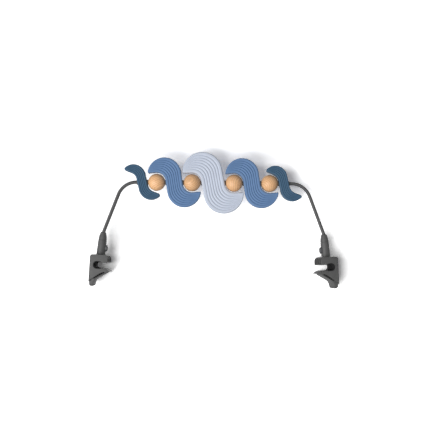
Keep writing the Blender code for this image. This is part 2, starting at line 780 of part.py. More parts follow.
def build_spring(side):
    """The coil spring between the clamp's boss and the button."""
    low = -SPRING_SEAT + SEAT_GAP + SPRING_WIRE
    high = BUTTON_BACK + SPRING_CUP - SEAT_GAP - SPRING_WIRE
    count = SPRING_TURNS * SPRING_POINTS
    points = []
    for i in range(count + 1):
        turn = 2 * math.pi * i / SPRING_POINTS
        points.append((
            low + (high - low) * i / count,
            SPRING_RADIUS * math.cos(turn),
            SPRING_HEIGHT + SPRING_RADIUS * math.sin(turn),
        ))
    coil = tube("button_spring", points, SPRING_WIRE, SPRING_RESOLUTION)
    part("button_spring_" + side, coil, "steel", SWIVELS[side])


def slot_end(offset):
    """The round closed end of the slot, from the upper jaw to the lower one."""
    centre = (SLOT_CENTRE_U, SLOT_CENTRE_V)
    return arc(centre, SLOT_RADIUS + offset, math.pi / 2 - JAW_SLOPE, 3 * math.pi / 2)


def jaw_line(u, offset=0.0):
    """Height of the upper jaw's lower face at u."""
    foot = SLOT_CENTRE_V + (SLOT_RADIUS + offset) / math.cos(JAW_SLOPE)
    return foot - (u - SLOT_CENTRE_U) * math.tan(JAW_SLOPE)


def lip_line(offset=0.0):
    """Height of the flat part of the lip's upper face."""
    return SLOT_CENTRE_V - SLOT_RADIUS - offset


def lip_top():
    """The lip's upper face beyond its flat part, drooping to its tip."""
    centre = (LIP_FLAT_END, lip_line(LIP_DROOP_RADIUS))
    return arc(centre, LIP_DROOP_RADIUS, math.pi / 2, math.pi / 2 - LIP_DROOP)


def clamp_outline():
    """The full-depth body from the front: top, jaws, slot, lip and flange."""
    outline = arc((-CLAMP_OUTER + CLAMP_CORNER, -CLAMP_CORNER), CLAMP_CORNER, math.pi, math.pi / 2)
    nose = (CLAMP_INNER - JAW_NOSE_RADIUS, -JAW_NOSE_RADIUS)
    outline += arc(nose, JAW_NOSE_RADIUS, math.pi / 2, 0)
    heel = CLAMP_INNER - JAW_CORNER
    outline += [(CLAMP_INNER, jaw_line(CLAMP_INNER) + JAW_CORNER), (heel, jaw_line(heel))]
    outline += slot_end(0.0)
    outline += lip_top()
    tip = outline[-1]
    outline.append((tip[0] - LIP_EDGE / 2, tip[1] - LIP_EDGE))
    return outline + list(FLANGE_POINTS)


def core_outline():
    """The narrower ramp under the flange, and the tail, from the front."""
    outer = -CLAMP_OUTER + TAIL_STEP
    inner = outer + TAIL_THICKNESS
    centre_u = inner + RAMP_FOOT_RADIUS
    run = RAMP_TOP_U - centre_u + RAMP_FOOT_RADIUS * math.sin(RAMP_SLOPE)
    end_v = RAMP_TOP_V - run * math.tan(RAMP_SLOPE)
    centre = (centre_u, end_v - RAMP_FOOT_RADIUS * math.cos(RAMP_SLOPE))
    outline = [(RAMP_TOP_U, RAMP_TOP_V)]
    outline += arc(centre, RAMP_FOOT_RADIUS, RAMP_SLOPE + math.pi / 2, math.pi)
    radius = TAIL_FOOT_RADIUS
    outline += arc((inner - radius, -TAIL_FOOT + radius), radius, 0, -math.pi / 2)
    outline += arc((outer + radius, -TAIL_FOOT + radius), radius, -math.pi / 2, -math.pi)
    return outline + [(outer, CORE_BACK_V), (0.0, CORE_BACK_V), (RAMP_TOP_U, CORE_TIP_V)]


def tail_outline():
    """The ramp and tail from the outer side: round corners at the foot."""
    half = CORE_DEPTH / 2
    right = arc((half - TAIL_CORNER, -TAIL_FOOT + TAIL_CORNER), TAIL_CORNER, -math.pi / 2, 0)
    right.append((half, 0.0))
    return right + [(-y, v) for y, v in right[::-1]]


def joined_cutter(name, meshes, moves, parent):
    """One cutter of several separate shapes."""
    work = bmesh.new()
    for mesh, move in zip(meshes, moves):
        mesh.transform(move)
        work.from_mesh(mesh)
    joined = bpy.data.meshes.new(name)
    work.to_mesh(joined)
    work.free()
    return cutter(name, joined, parent)


def nose_pockets(side):
    """Pockets that follow the upper jaw's round nose, with ribs between them."""
    nose = (CLAMP_INNER - JAW_NOSE_RADIUS, -JAW_NOSE_RADIUS)
    foot = jaw_line(CLAMP_INNER) + JAW_CORNER + NOSE_FLOOR
    outer = arc(nose, JAW_NOSE_RADIUS + OVERRUN, NOSE_POCKET_TOP, 0)
    inner = arc(nose, JAW_NOSE_RADIUS - NOSE_POCKET_DEPTH, 0, NOSE_POCKET_TOP)
    outline = outer + [(outer[-1][0], foot), (inner[0][0], foot)] + inner
    width = (CLAMP_DEPTH - (NOSE_POCKETS + 1) * NOSE_RIB) / NOSE_POCKETS
    meshes, moves = [], []
    for i in range(NOSE_POCKETS):
        y = (i - (NOSE_POCKETS - 1) / 2) * (width + NOSE_RIB)
        meshes.append(prism("nose_pocket", [outline], width / 2, "Y"))
        moves.append(Matrix.Translation((0, y, 0)))
    return joined_cutter("nose_pockets_" + side, meshes, moves, CLAMPS[side])


def ramp_pockets(side):
    """Pockets in both faces of the ramp, square to it, over a skin, with ribs between."""
    half = RAMP_POCKET_WIDTH / 2
    outline = [(-half, RAMP_SKIN), (half, RAMP_SKIN), (half, RAMP_POCKET_TOP),
               (-half, RAMP_POCKET_TOP)]
    turn = Matrix.Rotation(-RAMP_SLOPE, 4, "Y")
    length = RAMP_POCKET_DEPTH + OVERRUN
    middle = (CORE_DEPTH - RAMP_POCKET_DEPTH + OVERRUN) / 2
    meshes, moves = [], []
    for i in range(RAMP_POCKETS):
        along = RAMP_POCKET_START + i * RAMP_POCKET_PITCH
        for face in (-1, 1):
            at = (
                RAMP_TOP_U - along * math.cos(RAMP_SLOPE), face * middle,
                RAMP_TOP_V - along * math.sin(RAMP_SLOPE),
            )
            meshes.append(prism("ramp_pocket", [outline], length / 2, "Y"))
            moves.append(Matrix.Translation(at) @ turn)
    return joined_cutter("ramp_pockets_" + side, meshes, moves, CLAMPS[side])


def pad_outline(clearance):
    """The pad's section, grown on its seated sides by a clearance."""
    leg = SLOT_CENTRE_U + PAD_LEG + clearance
    back = PAD_THICKNESS + clearance
    outline = [(leg, jaw_line(leg, back))] + slot_end(back) + [(leg, lip_line(back))]
    if clearance:
        return outline
    return outline + [(leg, lip_line())] + slot_end(0.0)[::-1] + [(leg, jaw_line(leg))]


def build_clamp(side):
    """The moulded clamp with its ribbed nose, ribbed ramp and boss."""
    body = prism("clamp_body", [clamp_outline()], CLAMP_DEPTH / 2, "Y")
    clamp = part("clamp_" + side, body, "clamp_plastic", CLAMPS[side])
    rounded(clamp, CLAMP_EDGE_ROUNDING)
    core = cutter("tail_core_" + side, prism("core", [core_outline()], CORE_DEPTH / 2, "Y"),
                  CLAMPS[side])
    tail = prism("tail_shape", [tail_outline()], CLAMP_OUTER + CLAMP_INNER, "X")
    boolean(core, cutter("tail_shape_" + side, tail, CLAMPS[side]), "INTERSECT")
    rounded(core, CLAMP_EDGE_ROUNDING)
    boolean(core, ramp_pockets(side))
    boolean(clamp, core, "UNION")
    boss_radius = CHAMBER_RADIUS - SEAT_GAP
    flat = math.acos((BUTTON_BACK_PRESSED - SEAT_GAP) / boss_radius)
    boss_outline = arc((0, 0), boss_radius, flat, 2 * math.pi - flat)
    half = (BOSS_HEIGHT + OVERRUN) / 2
    boss = prism("boss", [boss_outline], half, "Z")
    joined = cutter("boss_" + side, boss, SWIVELS[side], (0, 0, BOSS_HEIGHT - half))
    boolean(clamp, joined, "UNION")
    pocket = turned(
        "spring_pocket",
        [(SPRING_BORE, CHAMBER_RADIUS), (SPRING_BORE, -SPRING_SEAT), (0, -SPRING_SEAT),
         (0, CHAMBER_RADIUS)],
        SMALL_TURN_STEPS,
    )
    boolean(clamp, cutter("spring_pocket_" + side, pocket, SWIVELS[side], (0, 0, SPRING_HEIGHT),
                          (0, math.radians(90), 0)))
    seat = prism("pad_seat", [pad_outline(SEAT_GAP)], CLAMP_DEPTH / 2 + OVERRUN, "Y")
    boolean(clamp, cutter("pad_seat_" + side, seat, CLAMPS[side]))
    boolean(clamp, nose_pockets(side))


def build_pad(side):
    """The ribbed rubber pad that lines the closed end of the slot."""
    half = PAD_DEPTH / 2
    pad = part("grip_pad_" + side, prism("grip_pad", [pad_outline(0.0)], half, "Y"),
               "grip_rubber", CLAMPS[side])
    width = (PAD_DEPTH - (PAD_GROOVES + 1) * PAD_RIB_WIDTH) / PAD_GROOVES
    leg = SLOT_CENTRE_U + PAD_LEG + OVERRUN
    cut = [(leg, jaw_line(leg, PAD_GROOVE_DEPTH))] + slot_end(PAD_GROOVE_DEPTH)
    cut.append((leg, lip_line(PAD_GROOVE_DEPTH)))
    meshes, moves = [], []
    for i in range(PAD_GROOVES):
        y = (i - (PAD_GROOVES - 1) / 2) * (width + PAD_RIB_WIDTH)
        meshes.append(prism("pad_groove", [cut], width / 2, "Y"))
        moves.append(Matrix.Translation((0, y, 0)))
    boolean(pad, joined_cutter("pad_grooves_" + side, meshes, moves, CLAMPS[side]))


def centre_on_origin():
    """Set the middle of the part's base, as the clamps stand, on the origin."""
    bpy.context.view_layer.update()
    graph = bpy.context.evaluated_depsgraph_get()
    corners = []
    for item in PARTS.objects:
        if item.type == "MESH":
            shape = item.evaluated_get(graph)
            corners += [shape.matrix_world @ vertex.co for vertex in shape.data.vertices]
    low = [min(corner[k] for corner in corners) for k in range(3)]
    high = [max(corner[k] for corner in corners) for k in range(3)]
    ROOT.location = (-(low[0] + high[0]) / 2, -(low[1] + high[1]) / 2, -low[2])


clear_scene()
PARTS = new_collection("bouncer_toy_bar")
CUTTERS = new_collection("bouncer_toy_bar_cutters")
ROOT = empty("bar_axis", None)
NECKS, SWIVELS, BUTTONS, CLAMPS = {}, {}, {}, {}


def build_frames():
    """The neck frames, and on each the swivel and the button's slide."""
    x, z = neck_base()
    for side, sign in SIDES:
        facing = 0.0 if sign < 0 else math.pi
        NECKS[side] = empty("neck_" + side, ROOT, (sign * x, 0, z), (0, NECK_LEAN, facing))
        SWIVELS[side] = empty("swivel_" + side, NECKS[side], (0, 0, 0), (0, 0, SWIVEL_REST[side]))
        BUTTONS[side] = empty("button_slide_" + side, SWIVELS[side])
        CLAMPS[side] = empty("clamp_frame_" + side, SWIVELS[side], (0, 0, 0), (0, -CLAMP_TILT, 0))


def main():
    """Build the toy bar and set it on its clamps' tails."""
    build_frames()
    build_bar(ROOT)
    build_row(ROOT)
    build_collars(ROOT)
    for side, _ in SIDES:
        build_pin(side)
        build_cap(side)
        build_barrel(side)
        build_button(side)
        build_spring(side)
        build_clamp(side)
        build_pad(side)
    centre_on_origin()
    bpy.context.view_layer.update()


main()
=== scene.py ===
"""Finished looks of a bouncer toy bar: grooved silicone waves and beech balls on a bent
bar, with a swivelling push-button frame clamp at each end. Lengths are in metres.
"""
import json
import math

import bmesh
import bpy
import numpy as np
from mathutils import Matrix, Vector


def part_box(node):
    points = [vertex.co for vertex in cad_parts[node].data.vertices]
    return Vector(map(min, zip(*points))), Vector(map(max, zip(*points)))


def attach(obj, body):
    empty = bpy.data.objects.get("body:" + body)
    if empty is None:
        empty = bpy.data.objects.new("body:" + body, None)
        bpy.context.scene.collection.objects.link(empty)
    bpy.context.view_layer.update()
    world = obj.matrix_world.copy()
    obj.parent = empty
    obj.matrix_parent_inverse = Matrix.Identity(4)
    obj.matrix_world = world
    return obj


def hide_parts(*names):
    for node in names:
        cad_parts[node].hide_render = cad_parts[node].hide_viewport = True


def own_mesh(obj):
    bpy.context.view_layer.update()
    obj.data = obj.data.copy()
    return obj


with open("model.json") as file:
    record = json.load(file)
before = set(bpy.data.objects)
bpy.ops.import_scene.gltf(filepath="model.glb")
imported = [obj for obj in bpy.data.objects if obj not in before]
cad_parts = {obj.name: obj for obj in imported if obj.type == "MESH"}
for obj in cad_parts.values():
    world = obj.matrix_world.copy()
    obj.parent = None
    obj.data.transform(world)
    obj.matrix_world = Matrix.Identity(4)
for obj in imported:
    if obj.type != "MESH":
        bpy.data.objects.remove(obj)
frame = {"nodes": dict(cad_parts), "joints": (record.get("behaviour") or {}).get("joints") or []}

bl_info = {
    "name": "Bouncer Toy Bar",
    "version": (1, 0, 0),
    "blender": (4, 5, 0),
    "location": "3D View > Sidebar > Toy Bar",
    "description": "Dresses the packed toy bar in finished surfaces and materials",
    "category": "Object",
}

MM = 0.001
DEGREE = math.pi / 180
TURN = 2 * math.pi
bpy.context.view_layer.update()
JOINTS = {joint["name"]: joint for joint in frame["joints"]}
SIDES = ("left", "right")

# Clearance between moving pieces, how far a cutter stands out of what it cuts, the distance
# at which points are merged, and the angle from which an edge is rounded
GAP = 0.3 * MM
OVERRUN = 3.0 * MM
WELD = 0.002 * MM
SHARP_ANGLE = 50.0 * DEGREE

# Bar
BAR_RADIUS = 3.2 * MM
SHOULDER_BEND_RADIUS = 36.0 * MM
SHOULDER_RUN = 2.2 * MM
ARM_DROP = 92.0 * MM
ARM_ANGLE = 21.0 * DEGREE
NECK_BEND_RADIUS = 14.0 * MM
NECK_LEAN = 6.0 * DEGREE
BORE_RADIUS = BAR_RADIUS + GAP
BAR_STATIONS = 420

# Row of toys
BALL_RADIUS = 16.0 * MM
BALL_HALF = math.sqrt(BALL_RADIUS ** 2 - BORE_RADIUS ** 2)
BALL_MOUTH = 0.35 * MM
HUB_RADIUS = 5.0 * MM
HUB_CHAMFER = 0.35 * MM
WAVE_BORE = HUB_RADIUS + GAP
ROW = ("dark_left", "blue_left", "pale", "blue_right", "dark_right")
BALLS = ("outer_left", "inner_left", "inner_right", "outer_right")

# Neck, measured along its axis from the clamp's top. A draft is the angle, in radians, at
# which a rounding runs into the sloping side.
NECK_TOP = 42.4 * MM
CAP_TOP_RADIUS = 5.45 * MM
CAP_SHOULDER = 2.2 * MM
CAP_DRAFT = 0.1
BARREL_DRAFT = 0.03
CAP_SEAM = 27.9 * MM
BARREL_SEAM = 27.6 * MM
SEAM_LINE = 0.05 * MM
SEAM_LINE_RADIUS = 7.0 * MM
SEAM_RADIUS = 7.9 * MM
SEAM_ROUNDING = 0.5 * MM
SPIGOT_RADIUS = 5.4 * MM
SPIGOT_LENGTH = 2.2 * MM
BARREL_BASE_RADIUS = 8.6 * MM
BARREL_SKIRT = 2.0 * MM
CHAMBER_RADIUS = 6.8 * MM
CHAMBER_HEIGHT = 20.6 * MM
BAR_FOOT = 18.4 * MM
PIN_HOLE_RADIUS = 1.8 * MM
PIN_HOLE_DEPTH = 9.3 * MM

# Release button and its spring
BUTTON_MIDDLE = 12.7 * MM
BUTTON_HEIGHT = 11.8 * MM
BUTTON_WIDTH = 8.6 * MM
BUTTON_BACK = 5.6 * MM
BUTTON_FACE = 11.8 * MM
BUTTON_DOME = 2.0 * MM
BUTTON_DOME_CLOSING = 0.98
BUTTON_DOME_STEPS = 12
BUTTON_TRAVEL = 1.8 * MM
LATCH_HEIGHT = 15.0 * MM
LATCH_THICKNESS = 3.0 * MM
LATCH_RADIUS = 5.0 * MM
LATCH_SHIFT = 0.3 * MM
LATCH_REACH = 1.2 * MM
TONGUE = 2.9 * MM
SPRING_HEIGHT = 9.3 * MM
SPRING_BORE = 2.0 * MM
SPRING_CUP = 3.0 * MM
SPRING_SEAT = 1.5 * MM
SPRING_RADIUS = 1.45 * MM
SPRING_WIRE = 0.25 * MM
SPRING_TURNS = 5
SPRING_STEPS_PER_TURN = 24
SPRING_SIDES = 12
BOSS_HEIGHT = 11.8 * MM

# Clamp, in its own frame: u towards the middle of the arch, v up
CLAMP_TILT = 3.0 * DEGREE
CLAMP_HALF = 19.0 * MM
CLAMP_EDGE = 16.6 * MM
CLAMP_CORNER = 4.5 * MM
NOSE_RADIUS = 7.5 * MM
JAW_CORNER = 1.0 * MM
SLOT_RADIUS = 5.7 * MM
SLOT_U = -2.8 * MM
SLOT_V = -19.0 * MM
JAW_SLOPE = 5.5 * DEGREE
LIP_FLAT_END = 7.0 * MM
LIP_DROOP_RADIUS = 21.0 * MM
LIP_DROOP = 40.0 * DEGREE
LIP_EDGE = 1.0 * MM
FLANGE = np.array([(13.0, -30.9), (8.5, -32.0), (5.0, -33.5), (2.0, -35.3), (-6.0, -41.3),
                   (-14.2, -47.5), (-16.0, -49.3), (-16.6, -51.0)]) * MM
CORE_HALF = 14.0 * MM
CORE_BACK_V = -34.0 * MM
CORE_TIP_V = -29.0 * MM
RAMP_TOP = (15.5 * MM, -32.3 * MM)
RAMP_SLOPE = 31.5 * DEGREE
RAMP_FOOT_RADIUS = 14.0 * MM
TAIL_OUTER = -16.3 * MM
TAIL_THICKNESS = 7.8 * MM
TAIL_FOOT = 59.2 * MM
TAIL_FOOT_RADIUS = 3.4 * MM
TAIL_CORNER = 8.0 * MM
NOSE_POCKETS = 4
NOSE_POCKET_DEPTH = 5.0 * MM
NOSE_POCKET_TOP = 52.0 * DEGREE
NOSE_RIB = 1.5 * MM
NOSE_FLOOR = 1.6 * MM
RAMP_POCKETS = 6
RAMP_POCKET_WIDTH = 3.2 * MM
RAMP_POCKET_DEPTH = 9.0 * MM
RAMP_POCKET_TOP = 5.4 * MM
RAMP_POCKET_PITCH = 3.9 * MM
RAMP_POCKET_START = 5.4 * MM
RAMP_SKIN = 1.1 * MM

# Grip pad
PAD_HALF = 18.5 * MM
PAD_THICKNESS = 1.3 * MM
PAD_LEG = 4.2 * MM
PAD_GROOVES = 4
PAD_GROOVE_DEPTH = 0.9 * MM
PAD_RIB = 1.8 * MM
PAD_SLOPE = 0.4 * MM
PAD_STATIONS = 181

# Grid of a wave: steps along half of it, the power that crowds them towards the tips, steps
# over a rim, and the places beside an engraved line as shares of half of its pitch. The lines
# fade in with the face's width: a factor times its share of the widest, less a start.
WAVE_STATIONS = 120
WAVE_CROWDING = 1.35
RIM_STEPS = 9
BESIDE_LINE = np.array([-0.98, -0.72, -0.5, -0.34, -0.2, -0.08,
                        0.08, 0.2, 0.34, 0.5, 0.72, 0.98])
FADE_FACTOR = 1.6
FADE_START = 0.35

# Each wave: outer arc's centre and radius, hook's gap round the ball and lift over it, slope
# of the hook's lower edge, tip radius, gap between the arcs, engraved lines, and the share of
# the face between the rims that stays plain beside the first line.
WAVES = {
    "pale": {"arc_u": 20.0 * MM, "arc_v": 20.0 * MM, "arc_radius": 36.8 * MM,
             "hook_gap": 1.0 * MM, "hook_lift": 1.0 * MM, "hook_slope": 3.0 * DEGREE,
             "tip_radius": 2.0 * MM, "arc_gap": 8.82 * MM, "lines": 7, "plain_share": 0.11},
    "blue": {"arc_u": 18.4 * MM, "arc_v": 14.7 * MM, "arc_radius": 31.3 * MM,
             "hook_gap": 1.0 * MM, "hook_lift": 1.0 * MM, "hook_slope": 6.0 * DEGREE,
             "tip_radius": 2.2 * MM, "arc_gap": 5.44 * MM, "lines": 6, "plain_share": 0.11},
    "dark": {"arc_u": 16.3 * MM, "arc_v": 10.2 * MM, "arc_radius": 22.6 * MM,
             "hook_gap": 0.5 * MM, "hook_lift": 1.6 * MM, "hook_slope": -20.0 * DEGREE,
             "tip_radius": 3.4 * MM, "arc_gap": 5.29 * MM, "lines": 4, "plain_share": 0.12},
}


# Surfaces

def arc(centre, radius, start, end, count=24):
    """Points on an arc: the centre plus the radius times the cosine and sine of each angle."""
    angles = np.linspace(start, end, count)
    return np.stack([centre[0] + radius * np.cos(angles), centre[1] + radius * np.sin(angles)], 1)


def joined(*lines):
    """Lines of points set end to end."""
    return np.concatenate([np.asarray(line, float).reshape(-1, 2) for line in lines])


def smooth(share):
    """A smooth step from 0 to 1: three times the share's square less twice its cube."""
    return share * share * (3 - 2 * share)


def in_space(flat, depth, axis="Y"):
    """The points of a flat shape, each at its depth along an axis."""
    across, up = flat[..., 0], flat[..., 1]
    depth = np.broadcast_to(depth, across.shape)
    order = {"X": (depth, across, up), "Y": (across, depth, up), "Z": (across, up, depth)}
    return np.stack(order[axis], -1)


def grid_faces(rows, columns, wrap_rows, wrap_columns):
    """Corner numbers of the quads between neighbouring rows and columns of a grid."""
    i, j = np.meshgrid(np.arange(rows - (not wrap_rows)), np.arange(columns - (not wrap_columns)),
                       indexing="ij")
    down, along = (i + 1) % rows, (j + 1) % columns
    corners = [i * columns + j, i * columns + along, down * columns + along, down * columns + j]
    return np.stack(corners, -1).reshape(-1, 4)


def surface(name, grid, wrap_rows=False, place=None):
    """A closed mesh from a grid of points. Open ends are closed by one flat face each."""
    rows, columns = grid.shape[:2]
    faces = grid_faces(rows, columns, wrap_rows, True).tolist()
    if not wrap_rows:
        faces.append(list(range(columns))[::-1])
        faces.append(list(range((rows - 1) * columns, rows * columns)))
    mesh = bpy.data.meshes.new(name)
    mesh.from_pydata(grid.reshape(-1, 3).tolist(), [], faces)
    work = bmesh.new()
    work.from_mesh(mesh)
    bmesh.ops.remove_doubles(work, verts=work.verts, dist=WELD)
    bmesh.ops.recalc_face_normals(work, faces=work.faces)
    work.to_mesh(mesh)
    work.free()
    if place is not None:
        mesh.transform(place)
    return mesh


def lathe(name, profile, place, steps):
    """A closed profile of (radius, height) turned about Z: at each angle a point is the
    radius times its cosine and sine, at the profile's height."""
    profile = np.asarray(profile, float)
    angles = np.linspace(0, TURN, steps, endpoint=False)[:, None]
    grid = np.stack([profile[:, 0] * np.cos(angles), profile[:, 0] * np.sin(angles),
                     profile[:, 1] + 0 * angles], -1)
    return surface(name, grid, wrap_rows=True, place=place)


def rod(name, radius, low, high, place, steps=32):
    """A plain rod along Z between two heights."""
    return lathe(name, [(radius, low), (radius, high), (0.0, high), (0.0, low)], place, steps)


def sweep(name, line, radius, sides=32):
    """A round rod along a line in the XZ plane: each ring is the line's point plus the radius
    times the cosine along the line's normal and the sine along Y."""
    tangent = np.gradient(line, axis=0)
    tangent /= np.linalg.norm(tangent, axis=1)[:, None]
    normal = np.stack([-tangent[:, 1], tangent[:, 0]], 1)
    angles = np.linspace(0, TURN, sides, endpoint=False)
    ring = line[:, None, :] + radius * np.cos(angles)[None, :, None] * normal[:, None, :]
    return surface(name, in_space(ring, radius * np.sin(angles)))


def prism(name, outline, half, axis, place=None):
    """A flat outline carried along an axis from minus to plus half of its depth."""
    rings = np.array([outline, outline], float)
    return surface(name, in_space(rings, [[-half], [half]], axis), place=place)


def evaluated(body):
    """The mesh that an object's modifiers make. The object is removed."""
    graph = bpy.context.evaluated_depsgraph_get()
    made = bpy.data.meshes.new_from_object(body.evaluated_get(graph))
    bpy.data.objects.remove(body)
    return made


def added(name, data):
    """A new object of the scene that holds a mesh, a lamp or a camera."""
    made = bpy.data.objects.new(name, data)
    bpy.context.scene.collection.objects.link(made)
    return made


def combined(base, others, operation="DIFFERENCE"):
    """A mesh cut by, or joined to, other meshes with exact Booleans."""
    body = added("helper", base)
    tools = [added("helper", mesh) for mesh in others]
    for tool in tools:
        step = body.modifiers.new("join", "BOOLEAN")
        step.operation = operation
        step.solver = "EXACT"
        step.object = tool
    made = evaluated(body)
    for tool in tools:
        bpy.data.objects.remove(tool)
    return made


def rounded(mesh, width, segments=3):
    """A mesh whose sharp edges a Bevel rounds off."""
    body = added("helper", mesh)
    step = body.modifiers.new("rounded_edges", "BEVEL")
    step.width = width
    step.segments = segments
    step.limit_method = "ANGLE"
    step.angle_limit = SHARP_ANGLE
    step.use_clamp_overlap = False
    return evaluated(body)


def piece(name, mesh, finish, body, replaced, crease=40.0):
    """A finished piece: shaded, given its material, and set to ride on a CAD body in the
    place of a CAD node."""
    made = added(name, mesh)
    mesh.materials.clear()
    mesh.materials.append(finish)
    mesh.shade_smooth()
    mesh.set_sharp_from_angle(angle=crease * DEGREE)
    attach(made, body)
    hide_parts(replaced)
    return made


# Places

def neck_frame(side):
    """The neck's frame: Z up the neck, X towards the middle of the arch."""
    joint = JOINTS["swivel_" + side]
    up = Vector(joint["axis"])
    across = Vector((0, 1, 0)) if side == "left" else Vector((0, -1, 0))
    turn = Matrix((across.cross(up), across, up)).transposed().to_4x4()
    return Matrix.Translation(joint["pos_m"]) @ turn


def swivel_frame(side):
    """The clamp's swivelled frame: Z up the neck, X from the neck to the button."""
    joint = JOINTS["swivel_" + side]
    up = Vector(joint["axis"])
    out = -Vector(JOINTS["press_" + side]["axis"])
    turn = Matrix((out, up.cross(out), up)).transposed().to_4x4()
    return Matrix.Translation(joint["pos_m"]) @ turn


def clamp_frame(side):
    """The clamp body's frame, which leans a little less than the neck."""
    return swivel_frame(side) @ Matrix.Rotation(-CLAMP_TILT, 4, "Y")


def bar_middle():
    """The point of the bar's axis midway between the necks."""
    left, right = (Vector(JOINTS["swivel_" + side]["pos_m"]) for side in SIDES)
    row = JOINTS["wave_pale_turn"]["pos_m"]
    return Vector(((left.x + right.x) / 2, row[1], row[2]))


def along_bar(x):
    """A frame on the bar's axis with Z along the bar."""
    middle = bar_middle()
    turn = Matrix.Rotation(90 * DEGREE, 4, "Y")
    return Matrix.Translation((x, middle.y, middle.z)) @ turn


# Waves

def ball_offset(wave):
    """How far a neighbouring ball's middle lies from a wave's middle: the level side of the
    right triangle whose long side joins the centres of the outer arc and the hook's arc."""
    span = wave["arc_radius"] + BALL_RADIUS + wave["hook_gap"] + wave["arc_gap"]
    fall = wave["hook_lift"] + wave["arc_v"]
    return math.sqrt(span ** 2 - fall ** 2) - wave["arc_u"]


def hub_half(size):
    """Half of a wave's length on the bar, between its two balls."""
    return ball_offset(WAVES[size]) - GAP - BALL_HALF


def row_reach():
    """Half the length of the row of toys."""
    hubs = hub_half("pale") + 2 * hub_half("blue") + 2 * hub_half("dark")
    return hubs + 4 * (BALL_HALF + GAP)


def half_edges(wave):
    """A wave's outer and inner edge from the upper left tip to the bar's axis: the tip's
    round, then the outer arc or the hook's arc, then the line that touches both arcs."""
    radius, tip, slope = wave["arc_radius"], wave["tip_radius"], wave["hook_slope"]
    hook_radius = BALL_RADIUS + wave["hook_gap"]
    ball = ball_offset(wave)
    run, fall = ball + wave["arc_u"], wave["hook_lift"] + wave["arc_v"]
    lean = math.acos((radius + hook_radius) / math.hypot(run, fall)) - math.atan2(fall, run)
    hook = np.array([-ball, wave["hook_lift"]])
    big = np.array([-wave["arc_u"], wave["arc_v"]])
    inward = np.array([-math.sin(slope), math.cos(slope)])
    along = np.array([-math.cos(slope), -math.sin(slope)])
    start = hook + inward * (hook_radius + tip)
    apart = start - big
    reach = -(apart @ along) + math.sqrt((apart @ along) ** 2 - apart @ apart + (radius - tip) ** 2)
    centre = start + along * reach
    low = math.atan2(-inward[1], -inward[0]) % TURN
    high = math.atan2(centre[1] - big[1], centre[0] - big[0]) % TURN
    middle = (low + high) / 2
    outer = joined(arc(centre, tip, middle, high), arc(big, radius, high, lean, count=120))
    inner = joined(arc(centre, tip, middle, low),
                   arc(hook, hook_radius, math.pi / 2 + slope, lean, count=120))
    axis_x = outer[-1, 0] + outer[-1, 1] * math.tan(lean)
    return joined(outer, (axis_x, 0.0)), joined(inner, (-axis_x, 0.0))


def resampled(line, shares):
    """Points at shares of a line's length."""
    along = np.concatenate([[0.0], np.cumsum(np.linalg.norm(np.diff(line, axis=0), axis=1))])
    return np.stack([np.interp(shares * along[-1], along, line[:, k]) for k in (0, 1)], 1)


def wave_grid(wave, sizes):
    """A wave as a function of the share along it and the share across it. The point lies
    on the line between both edges. Its height is a quarter circle over the rim and level
    between the rims, less a bell curve at each engraved line. The back mirrors the front.
    """
    outer, inner = half_edges(wave)
    shares = np.linspace(0, 1, WAVE_STATIONS + 1) ** WAVE_CROWDING
    right, left = resampled(outer, shares), resampled(inner, shares)
    right, left = (np.concatenate([right, -left[-2::-1]]),
                   np.concatenate([left, -right[-2::-1]]))
    width = np.linalg.norm(right - left, axis=1)[:, None]
    rim = np.minimum(sizes.rim_radius, width / 2)
    centres = np.linspace(wave["plain_share"], 1 - wave["plain_share"], wave["lines"])
    cell = min(wave["plain_share"], (centres[1] - centres[0]) / 2)
    face = (centres[:, None] + BESIDE_LINE * cell).ravel()
    face = np.concatenate([[0.0], face, [1.0]])[None, :]
    bend = np.linspace(0, math.pi / 2, RIM_STEPS)[None, :-1]
    edge = rim * (1 - np.cos(bend))
    across = np.concatenate([edge, rim + (width - 2 * rim) * face, (width - edge)[:, ::-1]], 1)
    inset = np.minimum(np.minimum(across, width - across), sizes.rim_radius)
    low = sizes.half_thickness - sizes.rim_radius
    round_part = sizes.rim_radius ** 2 - (sizes.rim_radius - inset) ** 2
    height = low + np.sqrt(np.maximum(round_part, 0))
    span = np.maximum(width - 2 * rim, WELD)
    share = (across - rim) / span
    distance = np.abs(share[:, :, None] - centres).min(-1) * span.max()
    fade = np.clip(span / span.max() * FADE_FACTOR - FADE_START, 0, 1)
    bell = np.exp(-(2 * distance / sizes.groove_width) ** 2)
    height = height - sizes.groove_depth * fade * bell
    line = left[:, None] + (across / np.maximum(width, WELD))[..., None] * (right - left)[:, None]
    return np.concatenate([in_space(line, -height), in_space(line, height)[:, ::-1]], 1)


